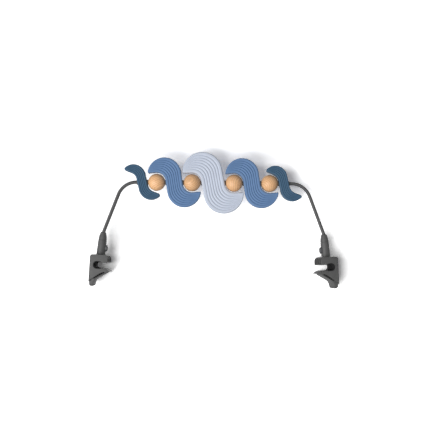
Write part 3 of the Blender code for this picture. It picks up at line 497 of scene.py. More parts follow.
class RowSizes(bpy.types.PropertyGroup):
    """Sizes and colours of the waves and balls."""

    half_thickness: bpy.props.FloatProperty(
        name="Half thickness", description="Half of a wave's depth from front to back",
        default=9.0 * MM, min=0.004, precision=4, unit="LENGTH")
    rim_radius: bpy.props.FloatProperty(
        name="Rim radius", description="Radius of the rounding along a wave's edges",
        default=3.0 * MM, min=0.0005, precision=4, unit="LENGTH")
    groove_depth: bpy.props.FloatProperty(
        name="Groove depth", description="Depth of the lines engraved in both faces",
        default=1.1 * MM, min=0.0, precision=5, unit="LENGTH")
    groove_width: bpy.props.FloatProperty(
        name="Groove width", description="Width of the engraved lines",
        default=2.0 * MM, min=0.0004, precision=5, unit="LENGTH")
    pale: bpy.props.FloatVectorProperty(
        name="Pale silicone", description="Colour of the middle wave", subtype="COLOR",
        default=(0.515, 0.560, 0.655), min=0.0, max=1.0)
    blue: bpy.props.FloatVectorProperty(
        name="Blue silicone", description="Colour of the two larger side waves", subtype="COLOR",
        default=(0.115, 0.205, 0.372), min=0.0, max=1.0)
    dark: bpy.props.FloatVectorProperty(
        name="Dark silicone", description="Colour of the two outermost waves", subtype="COLOR",
        default=(0.042, 0.096, 0.162), min=0.0, max=1.0)
    beech: bpy.props.FloatVectorProperty(
        name="Beech", description="Main colour of the turned balls", subtype="COLOR",
        default=(0.74, 0.45, 0.24), min=0.0, max=1.0)


class BUILD_OT_waves(bpy.types.Operator):
    """Build the five grooved silicone waves, bored for their hubs"""

    bl_idname = "toybar.waves"
    bl_label = "Silicone Waves"

    def execute(self, context):
        sizes = context.scene.toybar_row
        for where in ROW:
            size = where.split("_")[0]
            body = "wave_" + where
            centre = Vector(JOINTS[body + "_turn"]["pos_m"])
            grid = wave_grid(WAVES[size], sizes)
            mesh = surface(body, grid, place=Matrix.Translation(centre))
            half = hub_half(size) + OVERRUN
            bore = rod("bore", WAVE_BORE, -half, half, along_bar(centre.x), steps=48)
            mesh = combined(mesh, [bore])
            finish = silicone("silicone_" + where, getattr(sizes, size), centre)
            piece("grooved_" + body, mesh, finish, body, body)
        return {"FINISHED"}


class BUILD_OT_balls(bpy.types.Operator):
    """Build the four turned beech balls"""

    bl_idname = "toybar.balls"
    bl_label = "Beech Balls"

    def execute(self, context):
        mouth = BALL_HALF - BALL_MOUTH
        rim = math.atan2(BALL_HALF, BORE_RADIUS + BALL_MOUTH)
        profile = joined((BORE_RADIUS, mouth), arc((0, 0), BALL_RADIUS, rim, -rim, count=56),
                         (BORE_RADIUS, -mouth))
        for number, where in enumerate(BALLS):
            body = "ball_" + where
            centre = Vector(JOINTS[body + "_spin"]["pos_m"])
            mesh = lathe(body, profile, along_bar(centre.x), steps=96)
            finish = beech("beech_" + where, context.scene.toybar_row.beech, centre, number)
            piece("turned_" + body, mesh, finish, body, body, crease=50.0)
        return {"FINISHED"}


# Bar and necks

def bar_line():
    """The right half of the bar's centre line: level, the shoulder's arc, the straight
    arm, and the small arc into the neck, which turns the other way."""
    level_end = row_reach() + SHOULDER_RUN
    shoulder = arc((level_end, -SHOULDER_BEND_RADIUS), SHOULDER_BEND_RADIUS,
                   math.pi / 2, ARM_ANGLE, count=40)
    end = shoulder[-1]
    elbow_x = end[0] + (ARM_DROP + end[1]) * math.tan(ARM_ANGLE)
    centre = (elbow_x - NECK_BEND_RADIUS * math.cos(ARM_ANGLE),
              -ARM_DROP - NECK_BEND_RADIUS * math.sin(ARM_ANGLE))
    elbow = arc(centre, NECK_BEND_RADIUS, ARM_ANGLE, NECK_LEAN, count=12)
    return joined((0, 0), shoulder, elbow)


def bar_points(foot):
    """The whole centre line in the world, down to a height over both neck frames."""
    middle = bar_middle()
    joint = JOINTS["swivel_right"]
    tip = Vector(joint["pos_m"]) + Vector(joint["axis"]) * foot - middle
    half = joined(bar_line(), (tip.x, tip.z))
    whole = joined(half[::-1] * (-1, 1), half[1:])
    return resampled(whole, np.linspace(0, 1, BAR_STATIONS)) + (middle.x, middle.z)


def bar_rod(name, line, radius):
    """A rod along a stretch of the bar's centre line, in the bar's own plane."""
    made = sweep(name, line, radius)
    made.transform(Matrix.Translation((0, bar_middle().y, 0)))
    return made


def ring_mesh(ring):
    """A ring on the bar in the place of a CAD ring, with its outer corners broken."""
    low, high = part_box(ring)
    half = (high.x - low.x) / 2
    profile = [(BORE_RADIUS, -half), (HUB_RADIUS - HUB_CHAMFER, -half),
               (HUB_RADIUS, HUB_CHAMFER - half), (HUB_RADIUS, half - HUB_CHAMFER),
               (HUB_RADIUS - HUB_CHAMFER, half), (BORE_RADIUS, half)]
    return lathe(ring, profile, along_bar((low.x + high.x) / 2), steps=48)


class BUILD_OT_bar(bpy.types.Operator):
    """Build the bent bar, the hubs of the waves and the stop collars"""

    bl_idname = "toybar.bar"
    bl_label = "Bar, Hubs and Collars"

    def execute(self, context):
        sizes = context.scene.toybar_frame
        coat = coated_steel("bar_coating", sizes.bar_colour)
        holes = [rod("hole", PIN_HOLE_RADIUS, -OVERRUN, PIN_HOLE_DEPTH,
                     neck_frame(side) @ Matrix.Translation((0, 0, BAR_FOOT))) for side in SIDES]
        bar = combined(bar_rod("bar", bar_points(BAR_FOOT), BAR_RADIUS), holes)
        piece("bent_bar", bar, coat, "arch", "bar")
        plastic = moulded_plastic("hub_plastic", sizes.clamp_colour, roughness=0.45)
        for where in ROW:
            ring = "hub_" + where
            piece("tube_" + ring, ring_mesh(ring), plastic, "wave_" + where, ring,
                  crease=30.0)
        for side in SIDES:
            ring = "stop_collar_" + side
            piece("turned_" + ring, ring_mesh(ring), coat, "arch", ring,
                  crease=30.0)
        return {"FINISHED"}


class FrameSizes(bpy.types.PropertyGroup):
    """Sizes and colours of the bar, the necks and the clamps."""

    edge_rounding: bpy.props.FloatProperty(
        name="Edge rounding", description="Radius along the clamps' moulded edges",
        default=0.6 * MM, min=0.0001, precision=5, unit="LENGTH")
    bar_colour: bpy.props.FloatVectorProperty(
        name="Bar coating", description="Colour of the coated bar", subtype="COLOR",
        default=(0.066, 0.066, 0.067), min=0.0, max=1.0)
    clamp_colour: bpy.props.FloatVectorProperty(
        name="Clamp plastic", description="Colour of the necks and clamps", subtype="COLOR",
        default=(0.073, 0.073, 0.073), min=0.0, max=1.0)
    button_colour: bpy.props.FloatVectorProperty(
        name="Button plastic", description="Colour of the release buttons", subtype="COLOR",
        default=(0.064, 0.066, 0.070), min=0.0, max=1.0)
    # The pads' colour: black rubber, made darker than the rubber's own to paint the shade deep in
    # the clamp's slot
    pad_colour: bpy.props.FloatVectorProperty(
        name="Grip rubber", description="Colour of the ribbed pads", subtype="COLOR",
        default=(0.014, 0.014, 0.015), min=0.0, max=1.0)


def oval(width, height, middle):
    """An upright slot shape with half-round ends."""
    radius = width / 2
    rise = height / 2 - radius
    return joined(arc((0, middle + rise), radius, 0, math.pi),
                  arc((0, middle - rise), radius, math.pi, TURN))


def cap_mesh(side):
    """The neck cap turned about the neck, with a channel along the bar's last bend."""
    shoulder = arc((CAP_TOP_RADIUS - CAP_SHOULDER, NECK_TOP - CAP_SHOULDER), CAP_SHOULDER,
                   math.pi / 2, CAP_DRAFT, count=12)
    waist = ((CAP_TOP_RADIUS + SEAM_RADIUS + SEAM_ROUNDING) / 2, (NECK_TOP + CAP_SEAM) / 2)
    foot = arc((SEAM_RADIUS - SEAM_ROUNDING, CAP_SEAM + SEAM_ROUNDING), SEAM_ROUNDING,
               CAP_DRAFT, -math.pi / 2, count=6)
    low, spigot_end = BARREL_SEAM + SEAM_LINE, CAP_SEAM - SPIGOT_LENGTH
    profile = joined(shoulder, waist, foot, (SEAM_LINE_RADIUS, low), (SPIGOT_RADIUS, low),
                     (SPIGOT_RADIUS, spigot_end), (0, spigot_end), (0, NECK_TOP))
    line = bar_points(BAR_FOOT - OVERRUN)
    half = line[len(line) // 2:] if side == "right" else line[:len(line) // 2]
    return combined(lathe("cap", profile, neck_frame(side), steps=72),
                    [bar_rod("channel", half, BORE_RADIUS)])


def barrel_mesh(side):
    """The barrel turned about the neck, with the button's window cut in its side."""
    shoulder = arc((SEAM_RADIUS - SEAM_ROUNDING, BARREL_SEAM - SEAM_ROUNDING), SEAM_ROUNDING,
                   math.pi / 2, BARREL_DRAFT, count=6)
    counterbore, floor = SPIGOT_RADIUS + GAP, BARREL_SEAM - SPIGOT_LENGTH - GAP
    profile = joined(shoulder, (BARREL_BASE_RADIUS, -BARREL_SKIRT),
                     (CHAMBER_RADIUS, -BARREL_SKIRT), (CHAMBER_RADIUS, CHAMBER_HEIGHT),
                     (BORE_RADIUS, CHAMBER_HEIGHT), (BORE_RADIUS, floor),
                     (counterbore, floor), (counterbore, BARREL_SEAM))
    place = swivel_frame(side)
    near = BUTTON_BACK - BUTTON_TRAVEL - GAP
    window = prism("window", oval(BUTTON_WIDTH + 2 * GAP, BUTTON_HEIGHT + 2 * GAP, BUTTON_MIDDLE),
                   (BUTTON_FACE - near) / 2, "X",
                   place @ Matrix.Translation(((BUTTON_FACE + near) / 2, 0, 0)))
    below = [(-CLAMP_EDGE, GAP), (-CLAMP_EDGE, -CLAMP_EDGE), (CLAMP_EDGE, -CLAMP_EDGE),
             (CLAMP_EDGE, GAP)]
    seat = prism("seat", below, CLAMP_HALF, "Y", clamp_frame(side))
    return combined(lathe("barrel", profile, place, steps=72), [window, seat])


def button_mesh(side):
    """The button: an oval whose face is a low dome, with the latch ring on its back. At angle
    t of the dome its height grows with the sine of t, and its reach shrinks with one less the
    cosine, almost to a point."""
    outline = oval(BUTTON_WIDTH, BUTTON_HEIGHT, BUTTON_MIDDLE)
    middle = outline.mean(0)
    t = np.linspace(0, math.pi / 2, BUTTON_DOME_STEPS)
    depth = np.concatenate([[BUTTON_BACK], BUTTON_FACE - BUTTON_DOME * (1 - np.sin(t))])
    reach = np.concatenate([[1.0], 1.0 - BUTTON_DOME_CLOSING * (1 - np.cos(t))])
    rings = middle + (outline - middle) * reach[:, None, None]
    head = surface("head", in_space(rings, depth[:, None], "X"))
    near = BUTTON_BACK - GAP - BORE_RADIUS
    hole = joined(arc((near, 0), BORE_RADIUS, -math.pi / 2, math.pi / 2),
                  arc((LATCH_REACH, 0), BORE_RADIUS, math.pi / 2, TURN - math.pi / 2))
    start = math.asin(TONGUE / LATCH_RADIUS)
    outer = joined(arc((LATCH_SHIFT, 0), LATCH_RADIUS, start, TURN - start, count=40),
                   (BUTTON_BACK + OVERRUN, -TONGUE), (BUTTON_BACK + OVERRUN, TONGUE))
    level = Matrix.Translation((0, 0, LATCH_HEIGHT))
    ring = combined(prism("ring", outer, LATCH_THICKNESS / 2, "Z", level),
                    [prism("hole", hole, LATCH_THICKNESS, "Z", level)])
    cup = rod("cup", SPRING_BORE, -OVERRUN, SPRING_CUP, spring_axis(BUTTON_BACK))
    button = combined(combined(head, [ring], "UNION"), [cup])
    button.transform(swivel_frame(side))
    return button


def spring_axis(start=0.0):
    """A frame on the spring's axis at a place along it, with Z towards the button."""
    turn = Matrix.Rotation(90 * DEGREE, 4, "Y")
    return Matrix.Translation((start, 0, SPRING_HEIGHT)) @ turn


def spring_ends():
    """Where the spring starts and ends along the button's travel."""
    return GAP - SPRING_SEAT, BUTTON_BACK + SPRING_CUP - GAP


def spring_mesh(side):
    """The coil spring: at angle t the wire's middle is at the spring's radius times the
    cosine and sine of t, and its place along the spring grows evenly with t."""
    t = np.linspace(0, SPRING_TURNS * TURN, SPRING_TURNS * SPRING_STEPS_PER_TURN + 1)
    still = np.zeros_like(t)
    low, high = spring_ends()
    out = np.stack([still, np.cos(t), np.sin(t)], -1)
    middle = (0, 0, SPRING_HEIGHT) + SPRING_RADIUS * out
    middle[:, 0] = np.linspace(low + SPRING_WIRE, high - SPRING_WIRE, len(t))
    run = np.gradient(middle, axis=0)
    run /= np.linalg.norm(run, axis=1)[:, None]
    across = np.cross(run, out)
    angles = np.linspace(0, TURN, SPRING_SIDES, endpoint=False)[:, None]
    section = np.cos(angles) * out[:, None] + np.sin(angles) * across[:, None]
    return surface("coil_spring", middle[:, None] + SPRING_WIRE * section,
                   place=swivel_frame(side))


class BUILD_OT_necks(bpy.types.Operator):
    """Build the neck caps, the barrels, the release buttons and their springs"""

    bl_idname = "toybar.necks"
    bl_label = "Necks and Buttons"

    def execute(self, context):
        sizes = context.scene.toybar_frame
        for side in SIDES:
            plastic = moulded_plastic("neck_plastic_" + side, sizes.clamp_colour, roughness=0.5)
            buttons = moulded_plastic("button_plastic_" + side, sizes.button_colour,
                                      roughness=0.42)
            piece("tapered_cap_" + side, cap_mesh(side), plastic, "arch",
                  "neck_cap_" + side, crease=30.0)
            piece("neck_barrel_" + side, barrel_mesh(side), plastic, "clamp_" + side,
                  "barrel_" + side, crease=30.0)
            piece("push_button_" + side, button_mesh(side), buttons, "button_" + side,
                  "release_button_" + side, crease=45.0)
            spring = piece("coil_spring_" + side, spring_mesh(side),
                           bright_steel("spring_steel_" + side), "clamp_" + side,
                           "button_spring_" + side)
            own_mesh(spring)
        return {"FINISHED"}


# Clamps

def slot_end(offset):
    """The slot's round closed end, from the upper jaw to the lower one."""
    return arc((SLOT_U, SLOT_V), SLOT_RADIUS + offset,
               math.pi / 2 - JAW_SLOPE, 3 * math.pi / 2, count=40)


def jaw_line(u, offset=0.0):
    """Height of the upper jaw's lower face."""
    foot = SLOT_V + (SLOT_RADIUS + offset) / math.cos(JAW_SLOPE)
    return foot - (u - SLOT_U) * math.tan(JAW_SLOPE)


def lip_line(offset):
    """Height of the flat part of the lip's upper face."""
    return SLOT_V - SLOT_RADIUS - offset


def nose_centre():
    """The middle of the upper jaw's round nose."""
    return CLAMP_EDGE - NOSE_RADIUS, -NOSE_RADIUS


def plate_outline():
    """The clamp's full-depth body: top, nose, slot, drooping lip and slanted flange."""
    heel = CLAMP_EDGE - JAW_CORNER
    droop = arc((LIP_FLAT_END, lip_line(LIP_DROOP_RADIUS)), LIP_DROOP_RADIUS,
                math.pi / 2, math.pi / 2 - LIP_DROOP, count=20)
    return joined(
        arc((CLAMP_CORNER - CLAMP_EDGE, -CLAMP_CORNER), CLAMP_CORNER,
            math.pi, math.pi / 2, count=16),
        arc(nose_centre(), NOSE_RADIUS, math.pi / 2, 0),
        (CLAMP_EDGE, jaw_line(CLAMP_EDGE) + JAW_CORNER), (heel, jaw_line(heel)),
        slot_end(0.0), droop, droop[-1] - (LIP_EDGE / 2, LIP_EDGE), FLANGE)


def core_outline():
    """The narrower ramp under the flange and the tail below it."""
    inner = TAIL_OUTER + TAIL_THICKNESS
    centre_u = inner + RAMP_FOOT_RADIUS
    run = RAMP_TOP[0] - centre_u + RAMP_FOOT_RADIUS * math.sin(RAMP_SLOPE)
    end_v = RAMP_TOP[1] - run * math.tan(RAMP_SLOPE)
    centre = (centre_u, end_v - RAMP_FOOT_RADIUS * math.cos(RAMP_SLOPE))
    radius, foot = TAIL_FOOT_RADIUS, TAIL_FOOT_RADIUS - TAIL_FOOT
    return joined(
        RAMP_TOP, arc(centre, RAMP_FOOT_RADIUS, RAMP_SLOPE + math.pi / 2, math.pi, count=20),
        arc((inner - radius, foot), radius, 0, -math.pi / 2, count=12),
        arc((TAIL_OUTER + radius, foot), radius, -math.pi / 2, -math.pi, count=12),
        (TAIL_OUTER, CORE_BACK_V), (0, CORE_BACK_V), (RAMP_TOP[0], CORE_TIP_V))


def tail_outline():
    """The ramp and tail from the outer side: round corners at the foot."""
    corner = arc((CORE_HALF - TAIL_CORNER, TAIL_CORNER - TAIL_FOOT), TAIL_CORNER,
                 -math.pi / 2, 0, count=16)
    right = joined(corner, (CORE_HALF, 0))
    return joined(right, right[::-1] * (-1, 1))


def nose_pockets():
    """Pockets that follow the upper jaw's round nose, with ribs between them."""
    foot = jaw_line(CLAMP_EDGE) + JAW_CORNER + NOSE_FLOOR
    outer = arc(nose_centre(), NOSE_RADIUS + OVERRUN, NOSE_POCKET_TOP, 0, count=16)
    inner = arc(nose_centre(), NOSE_RADIUS - NOSE_POCKET_DEPTH, 0, NOSE_POCKET_TOP, count=16)
    outline = joined(outer, (outer[-1, 0], foot), (inner[0, 0], foot), inner)
    width = (2 * CLAMP_HALF - (NOSE_POCKETS + 1) * NOSE_RIB) / NOSE_POCKETS
    steps = (np.arange(NOSE_POCKETS) - (NOSE_POCKETS - 1) / 2) * (width + NOSE_RIB)
    return [prism("nose_pocket", outline, width / 2, "Y", Matrix.Translation((0, step, 0)))
            for step in steps]


def ramp_pockets():
    """Pockets in both faces of the ramp, square to it, over a skin, with ribs between."""
    half = RAMP_POCKET_WIDTH / 2
    outline = [(-half, RAMP_SKIN), (half, RAMP_SKIN), (half, RAMP_POCKET_TOP),
               (-half, RAMP_POCKET_TOP)]
    turn = Matrix.Rotation(-RAMP_SLOPE, 4, "Y")
    middle = CORE_HALF - (RAMP_POCKET_DEPTH - OVERRUN) / 2
    pockets = []
    for number in range(RAMP_POCKETS):
        along = RAMP_POCKET_START + number * RAMP_POCKET_PITCH
        for face in (-1, 1):
            at = (RAMP_TOP[0] - along * math.cos(RAMP_SLOPE), face * middle,
                  RAMP_TOP[1] - along * math.sin(RAMP_SLOPE))
            pockets.append(prism("ramp_pocket", outline, (RAMP_POCKET_DEPTH + OVERRUN) / 2, "Y",
                                 Matrix.Translation(at) @ turn))
    return pockets


def boss_meshes():
    """The round boss inside the barrel, flat behind the button, and its spring's pocket."""
    radius = CHAMBER_RADIUS - GAP
    flat = math.acos((BUTTON_BACK - BUTTON_TRAVEL - 2 * GAP) / radius)
    half = (BOSS_HEIGHT + OVERRUN) / 2
    upright = Matrix.Rotation(CLAMP_TILT, 4, "Y")
    boss = prism("boss", arc((0, 0), radius, flat, TURN - flat, count=48), half, "Z",
                 upright @ Matrix.Translation((0, 0, BOSS_HEIGHT - half)))
    return boss, rod("spring_pocket", SPRING_BORE, -SPRING_SEAT, CHAMBER_RADIUS,
                     upright @ spring_axis())


def clamp_mesh(side, rounding):
    """The clamp: plate, ramp and tail joined, with its seat and pockets cut."""
    plate = rounded(prism("plate", plate_outline(), CLAMP_HALF, "Y"), rounding)
    core = combined(prism("core", core_outline(), CORE_HALF, "Y"),
                    [prism("tail", tail_outline(), 2 * CLAMP_EDGE, "X")], "INTERSECT")
    core = combined(rounded(core, rounding), ramp_pockets())
    boss, spring_pocket = boss_meshes()
    seat = prism("seat", pad_outline(GAP), CLAMP_HALF + OVERRUN, "Y")
    body = combined(plate, [core, boss], "UNION")
    body = combined(body, [spring_pocket, seat] + nose_pockets())
    body.transform(clamp_frame(side))
    return body


def pad_outline(clearance):
    """The pad's section grown by a clearance: its seat."""
    leg, back = PAD_LEG + clearance, PAD_THICKNESS + clearance
    return joined((leg, jaw_line(leg, back)), slot_end(back), (leg, lip_line(back)))


def pad_mesh(side):
    """The pad: its section carried along Y, whose inner side steps back between the ribs
    by the groove's depth times a smooth step."""
    def skin(offset):
        return joined((PAD_LEG, jaw_line(PAD_LEG, offset)), slot_end(offset),
                      (PAD_LEG, lip_line(offset)))

    y = np.linspace(-PAD_HALF, PAD_HALF, PAD_STATIONS)
    pitch = (2 * PAD_HALF - PAD_RIB) / PAD_GROOVES
    phase = (y + PAD_HALF) % pitch
    step = np.clip(np.minimum(phase - PAD_RIB, pitch - phase) / PAD_SLOPE, 0, 1)
    step = smooth(step)[:, None, None]
    inner = ((1 - step) * skin(0.0) + step * skin(PAD_GROOVE_DEPTH))[:, ::-1]
    outer = np.broadcast_to(skin(PAD_THICKNESS), inner.shape)
    section = np.concatenate([outer, inner], 1)
    return surface("pad", in_space(section, y[:, None]), place=clamp_frame(side))


class BUILD_OT_clamps(bpy.types.Operator):
    """Build the moulded clamps and their ribbed pads, and finish the end pins"""

    bl_idname = "toybar.clamps"
    bl_label = "Frame Clamps"

    def execute(self, context):
        sizes = context.scene.toybar_frame
        for side in SIDES:
            body = "clamp_" + side
            plastic = moulded_plastic("clamp_plastic_" + side, sizes.clamp_colour, roughness=0.55)
            # The pads' rubber colour is partly painted shade: darker than black rubber, for the
            # shade deep in the slot
            rubber = grip_rubber_and_shade("grip_rubber_" + side, sizes.pad_colour)
            piece("moulded_clamp_" + side, clamp_mesh(side, sizes.edge_rounding), plastic, body,
                  body, crease=32.0)
            piece("ribbed_pad_" + side, pad_mesh(side), rubber, body,
                  "grip_pad_" + side)
            slots = frame["nodes"]["end_pin_" + side].data.materials
            slots.clear()
            slots.append(bright_steel("pin_steel_" + side))
        return {"FINISHED"}


# Materials

# Depth of a grain and of fine scratches under a bump's full strength
GRAIN_DEPTH = 0.2 * MM
SCRATCH_DEPTH = 0.1 * MM
# How much lighter each ball is than the beech colour, and how its grain is turned and moved:
# the first ball's, and what each further ball adds
BALL_TONES = (1.14, 1.0, 1.02, 1.03)
BALL_TURN = ((0.35, 0.5, 0.0), (1.1, -0.8, 0.4))
BALL_MOVE = ((0.0, 0.007, 0.021), (0.013, 0.0, 0.0))
UNCHANGED = (1, 1, 1)


def node(tree, kind, sockets, **settings):
    """A new node with its settings. Each of its sockets, by name or number, gets a value or
    a link from another node's output."""
    made = tree.nodes.new("ShaderNode" + kind)
    for name, value in settings.items():
        setattr(made, name, value)
    for name, value in sockets.items():
        if isinstance(value, bpy.types.NodeSocket):
            tree.links.new(value, made.inputs[name])
        else:
            made.inputs[name].default_value = value
    return made


def shade(colour, factor):
    """A colour made lighter or darker."""
    return tuple(min(1.0, value * factor) for value in colour)


class Recipe:
    """Short names for the nodes of one Principled material."""

    def __init__(self, name, colour, roughness, levels):
        self.made = bpy.data.materials.new(name)
        self.made.use_nodes = True
        self.tree = self.made.node_tree
        self.shader = self.tree.nodes["Principled BSDF"]
        values = {"Base Color": (*colour, 1), "Roughness": roughness, **levels}
        for key, value in values.items():
            self.shader.inputs[key].default_value = value

    def place(self, location=(0, 0, 0), rotation=(0, 0, 0), scale=(1, 1, 1), of=None):
        """Object coordinates, or another place, moved, turned and stretched."""
        if of is None:
            of = node(self.tree, "TexCoord", {}).outputs["Object"]
        sockets = {"Vector": of, "Location": location, "Rotation": rotation, "Scale": scale}
        return node(self.tree, "Mapping", sockets).outputs["Vector"]

    def noise(self, where, scale, detail=3.0, rough=0.55):
        """Soft cloudy noise."""
        sockets = {"Vector": where, "Scale": scale, "Detail": detail, "Roughness": rough}
        return node(self.tree, "TexNoise", sockets).outputs["Fac"]

    def ramp(self, value, low, low_colour, high, high_colour):
        """Two colours by value."""
        made = node(self.tree, "ValToRGB", {"Fac": value})
        for element, place, colour in zip(made.color_ramp.elements, (low, high),
                                          (low_colour, high_colour)):
            element.position = place
            element.color = (*colour, 1)
        return made.outputs["Color"]

    def clouded(self, value, colour, spread, low=0.3, high=0.7):
        """A colour made darker and lighter by the same spread, by value."""
        return self.ramp(value, low, shade(colour, 1 - spread), high, shade(colour, 1 + spread))

    def multiplied(self, first, second, factor=1.0):
        """One colour darkened by another."""
        made = node(self.tree, "Mix", {"Factor": factor, "A": first, "B": second},
                    data_type="RGBA", blend_type="MULTIPLY")
        return made.outputs["Result"]

    def span(self, value, low, high):
        """A value from 0 to 1 stretched between two others."""
        sockets = {"Value": value, "To Min": low, "To Max": high}
        return node(self.tree, "MapRange", sockets).outputs["Result"]

    def bump(self, height, strength, distance=GRAIN_DEPTH):
        """A bump on the normal."""
        sockets = {"Height": height, "Strength": strength, "Distance": distance}
        return node(self.tree, "Bump", sockets).outputs["Normal"]

    def finish(self, colour, roughness, normal):
        """Link what was made to the shader. A colour of None stays plain."""
        if colour is not None:
            self.tree.links.new(colour, self.shader.inputs["Base Color"])
        self.tree.links.new(roughness, self.shader.inputs["Roughness"])
        self.tree.links.new(normal, self.shader.inputs["Normal"])
        return self.made


def silicone(name, colour, centre):
    """Matt silicone: even colour with a faint cloud and a dusty bloom, a fine grain."""
    recipe = Recipe(name, colour, 0.62, {"Sheen Weight": 0.06, "Sheen Roughness": 0.5,
                                         "Specular IOR Level": 0.25})
    where = recipe.place(-centre)
    cloud = recipe.noise(where, scale=55.0)
    body = recipe.clouded(cloud, colour, spread=0.04, low=0.25, high=0.75)
    grain = recipe.noise(where, scale=2600.0, detail=2.0)
    rough = recipe.span(recipe.noise(where, scale=240.0), 0.54, 0.70)
    return recipe.finish(body, rough, recipe.bump(grain, strength=0.12))


def beech(name, colour, centre, number):
    """Oiled beech: growth rings, soft clouds, and short dark pores along the grain."""
    colour = shade(colour, BALL_TONES[number])
    recipe = Recipe(name, colour, 0.45, {})
    where = recipe.place(-centre)
    move, turn = (tuple(first + number * more for first, more in zip(*pair))
                  for pair in (BALL_MOVE, BALL_TURN))
    turned = recipe.place(move, turn, of=where)
    rings = node(recipe.tree, "TexWave",
                 {"Vector": turned, "Scale": 95.0, "Distortion": 2.2, "Detail": 2.5,
                  "Detail Scale": 1.4}, wave_type="RINGS", rings_direction="X")
    stretched = recipe.place(scale=(0.14, 1, 1), of=turned)
    flecks = recipe.noise(stretched, scale=1500.0, rough=0.6)
    grain = recipe.ramp(rings.outputs["Fac"], 0.1, shade(colour, 0.86), 0.9, shade(colour, 1.08))
    cloud = recipe.noise(where, scale=90.0)
    tone = recipe.ramp(cloud, 0.3, (0.93, 0.88, 0.82), 0.7, UNCHANGED)
    fleck = recipe.ramp(flecks, 0.36, (0.76, 0.62, 0.50), 0.47, UNCHANGED)
    body = recipe.multiplied(recipe.multiplied(grain, tone, factor=0.8), fleck)
    rough = recipe.span(flecks, 0.55, 0.40)
    return recipe.finish(body, rough, recipe.bump(flecks, strength=0.15))


def coated_steel(name, colour):
    """Powder-coated steel: satin, with the coat's fine orange peel."""
    recipe = Recipe(name, colour, 0.45, {"Specular IOR Level": 0.3})
    where = recipe.place()
    peel = recipe.noise(where, scale=1400.0, detail=2.0)
    cloud = recipe.noise(where, scale=300.0, detail=2.0)
    body = recipe.clouded(cloud, colour, spread=0.06)
    return recipe.finish(body, recipe.span(peel, 0.38, 0.52), recipe.bump(peel, strength=0.2))


def moulded_plastic(name, colour, roughness):
    """Moulded plastic with a spark-eroded grain and faint flow clouds."""
    recipe = Recipe(name, colour, roughness, {"Specular IOR Level": 0.35})
    where = recipe.place()
    grain = recipe.noise(where, scale=2200.0, detail=2.0, rough=0.6)
    cloud = recipe.noise(where, scale=120.0)
    body = recipe.clouded(cloud, colour, spread=0.07)
    rough = recipe.span(grain, roughness - 0.08, roughness + 0.1)
    return recipe.finish(body, rough, recipe.bump(grain, strength=0.3))


def grip_rubber_and_shade(name, colour):
    """Soft dark rubber with a fine grain. Its colour for the pads is partly painted shade, darker
    than the rubber's own.
    """
    recipe = Recipe(name, colour, 0.8, {"Specular IOR Level": 0.2})
    grain = recipe.noise(recipe.place(), scale=1800.0)
    body = recipe.clouded(grain, colour, spread=0.15)
    return recipe.finish(body, recipe.span(grain, 0.7, 0.9), recipe.bump(grain, strength=0.25))


def bright_steel(name):
    """Bare steel with fine scratches."""
    recipe = Recipe(name, (0.60, 0.60, 0.61), 0.3, {"Metallic": 1.0})
    lines = recipe.noise(recipe.place(scale=(1, 0.1, 0.1)), scale=3000.0, detail=2.0)
    bump = recipe.bump(lines, strength=0.1, distance=SCRATCH_DEPTH)
    return recipe.finish(None, recipe.span(lines, 0.22, 0.4), bump)


# Stage

class StageSizes(bpy.types.PropertyGroup):
    """The camera, the lamps and the light of the room."""

    distance: bpy.props.FloatProperty(
        name="Camera distance", description="From the camera to the middle of the part",
        default=1.4, min=0.5, unit="LENGTH")
    height: bpy.props.FloatProperty(
        name="Camera height", description="Height of the camera above the clamps' tails",
        default=70.0 * MM, unit="LENGTH")
    aim_height: bpy.props.FloatProperty(
        name="Picture middle", description="Height at the part of the middle of the picture",
        default=134.5 * MM, unit="LENGTH")
    aside: bpy.props.FloatProperty(
        name="Camera offset", description="How far the camera stands to the right",
        default=1.43 * MM, unit="LENGTH")
    roll: bpy.props.FloatProperty(
        name="Camera roll", description="Turn of the picture about the line of sight",
        default=-0.6 * DEGREE, subtype="ANGLE")
    view_width: bpy.props.FloatProperty(
        name="View width", description="Width of the picture at the part",
        default=799.8 * MM, min=0.1, unit="LENGTH")
    key: bpy.props.FloatProperty(
        name="Key lamp", description="Strength of the large lamp at the lower left, in watts",
        default=380.0, min=0.0)
    back: bpy.props.FloatProperty(
        name="Back lamp", description="Strength of the lamp behind the part, in watts",
        default=40.0, min=0.0)
    ambient: bpy.props.FloatProperty(
        name="Room light", description="Strength of the even light of the room",
        default=0.2, min=0.0)


# Each lamp's place and size
LAMPS = {
    "key": ((-2.9, -4.5, -1.2), 4.6),
    "back": ((1.2, 2.2, 0.9), 1.2),
}
LAMP_TARGET = (0.0, 0.0, 0.13)

# The white surface that the toy bar leans on. It passes through two points, each a height
# and a place along Y: the low one is behind a clamp's corner as it swivels, and the high one
# is behind the top of the pale wave. The reach is to each side of the middle.
SURFACE_LOW = (22.0 * MM, 25.5 * MM)
SURFACE_HIGH = (247.0 * MM, 12.0 * MM)
SURFACE_REACH = 1.3
# The shallow hollow behind the row, in which the waves can turn: its depth, how far from its
# middle it keeps that depth across and up, and how wide its banks are to the left and right
# and below and above. The left and lower banks are wide, so that they stay white. It lies in
# a finer grid, with a reach to each side of the middle and a number of lines each way.
HOLLOW_DEPTH = 47.0 * MM
HOLLOW_FLAT = (110.0 * MM, 44.0 * MM)
HOLLOW_BANKS = ((160.0 * MM, 88.0 * MM), (100.0 * MM, 40.0 * MM))
HOLLOW_GRID_REACH = 0.3
HOLLOW_GRID_LINES = 121
# The surface's white, and what is added to it, as in an overexposed picture
WHITE = 0.94
WHITE_LIFT = 0.75


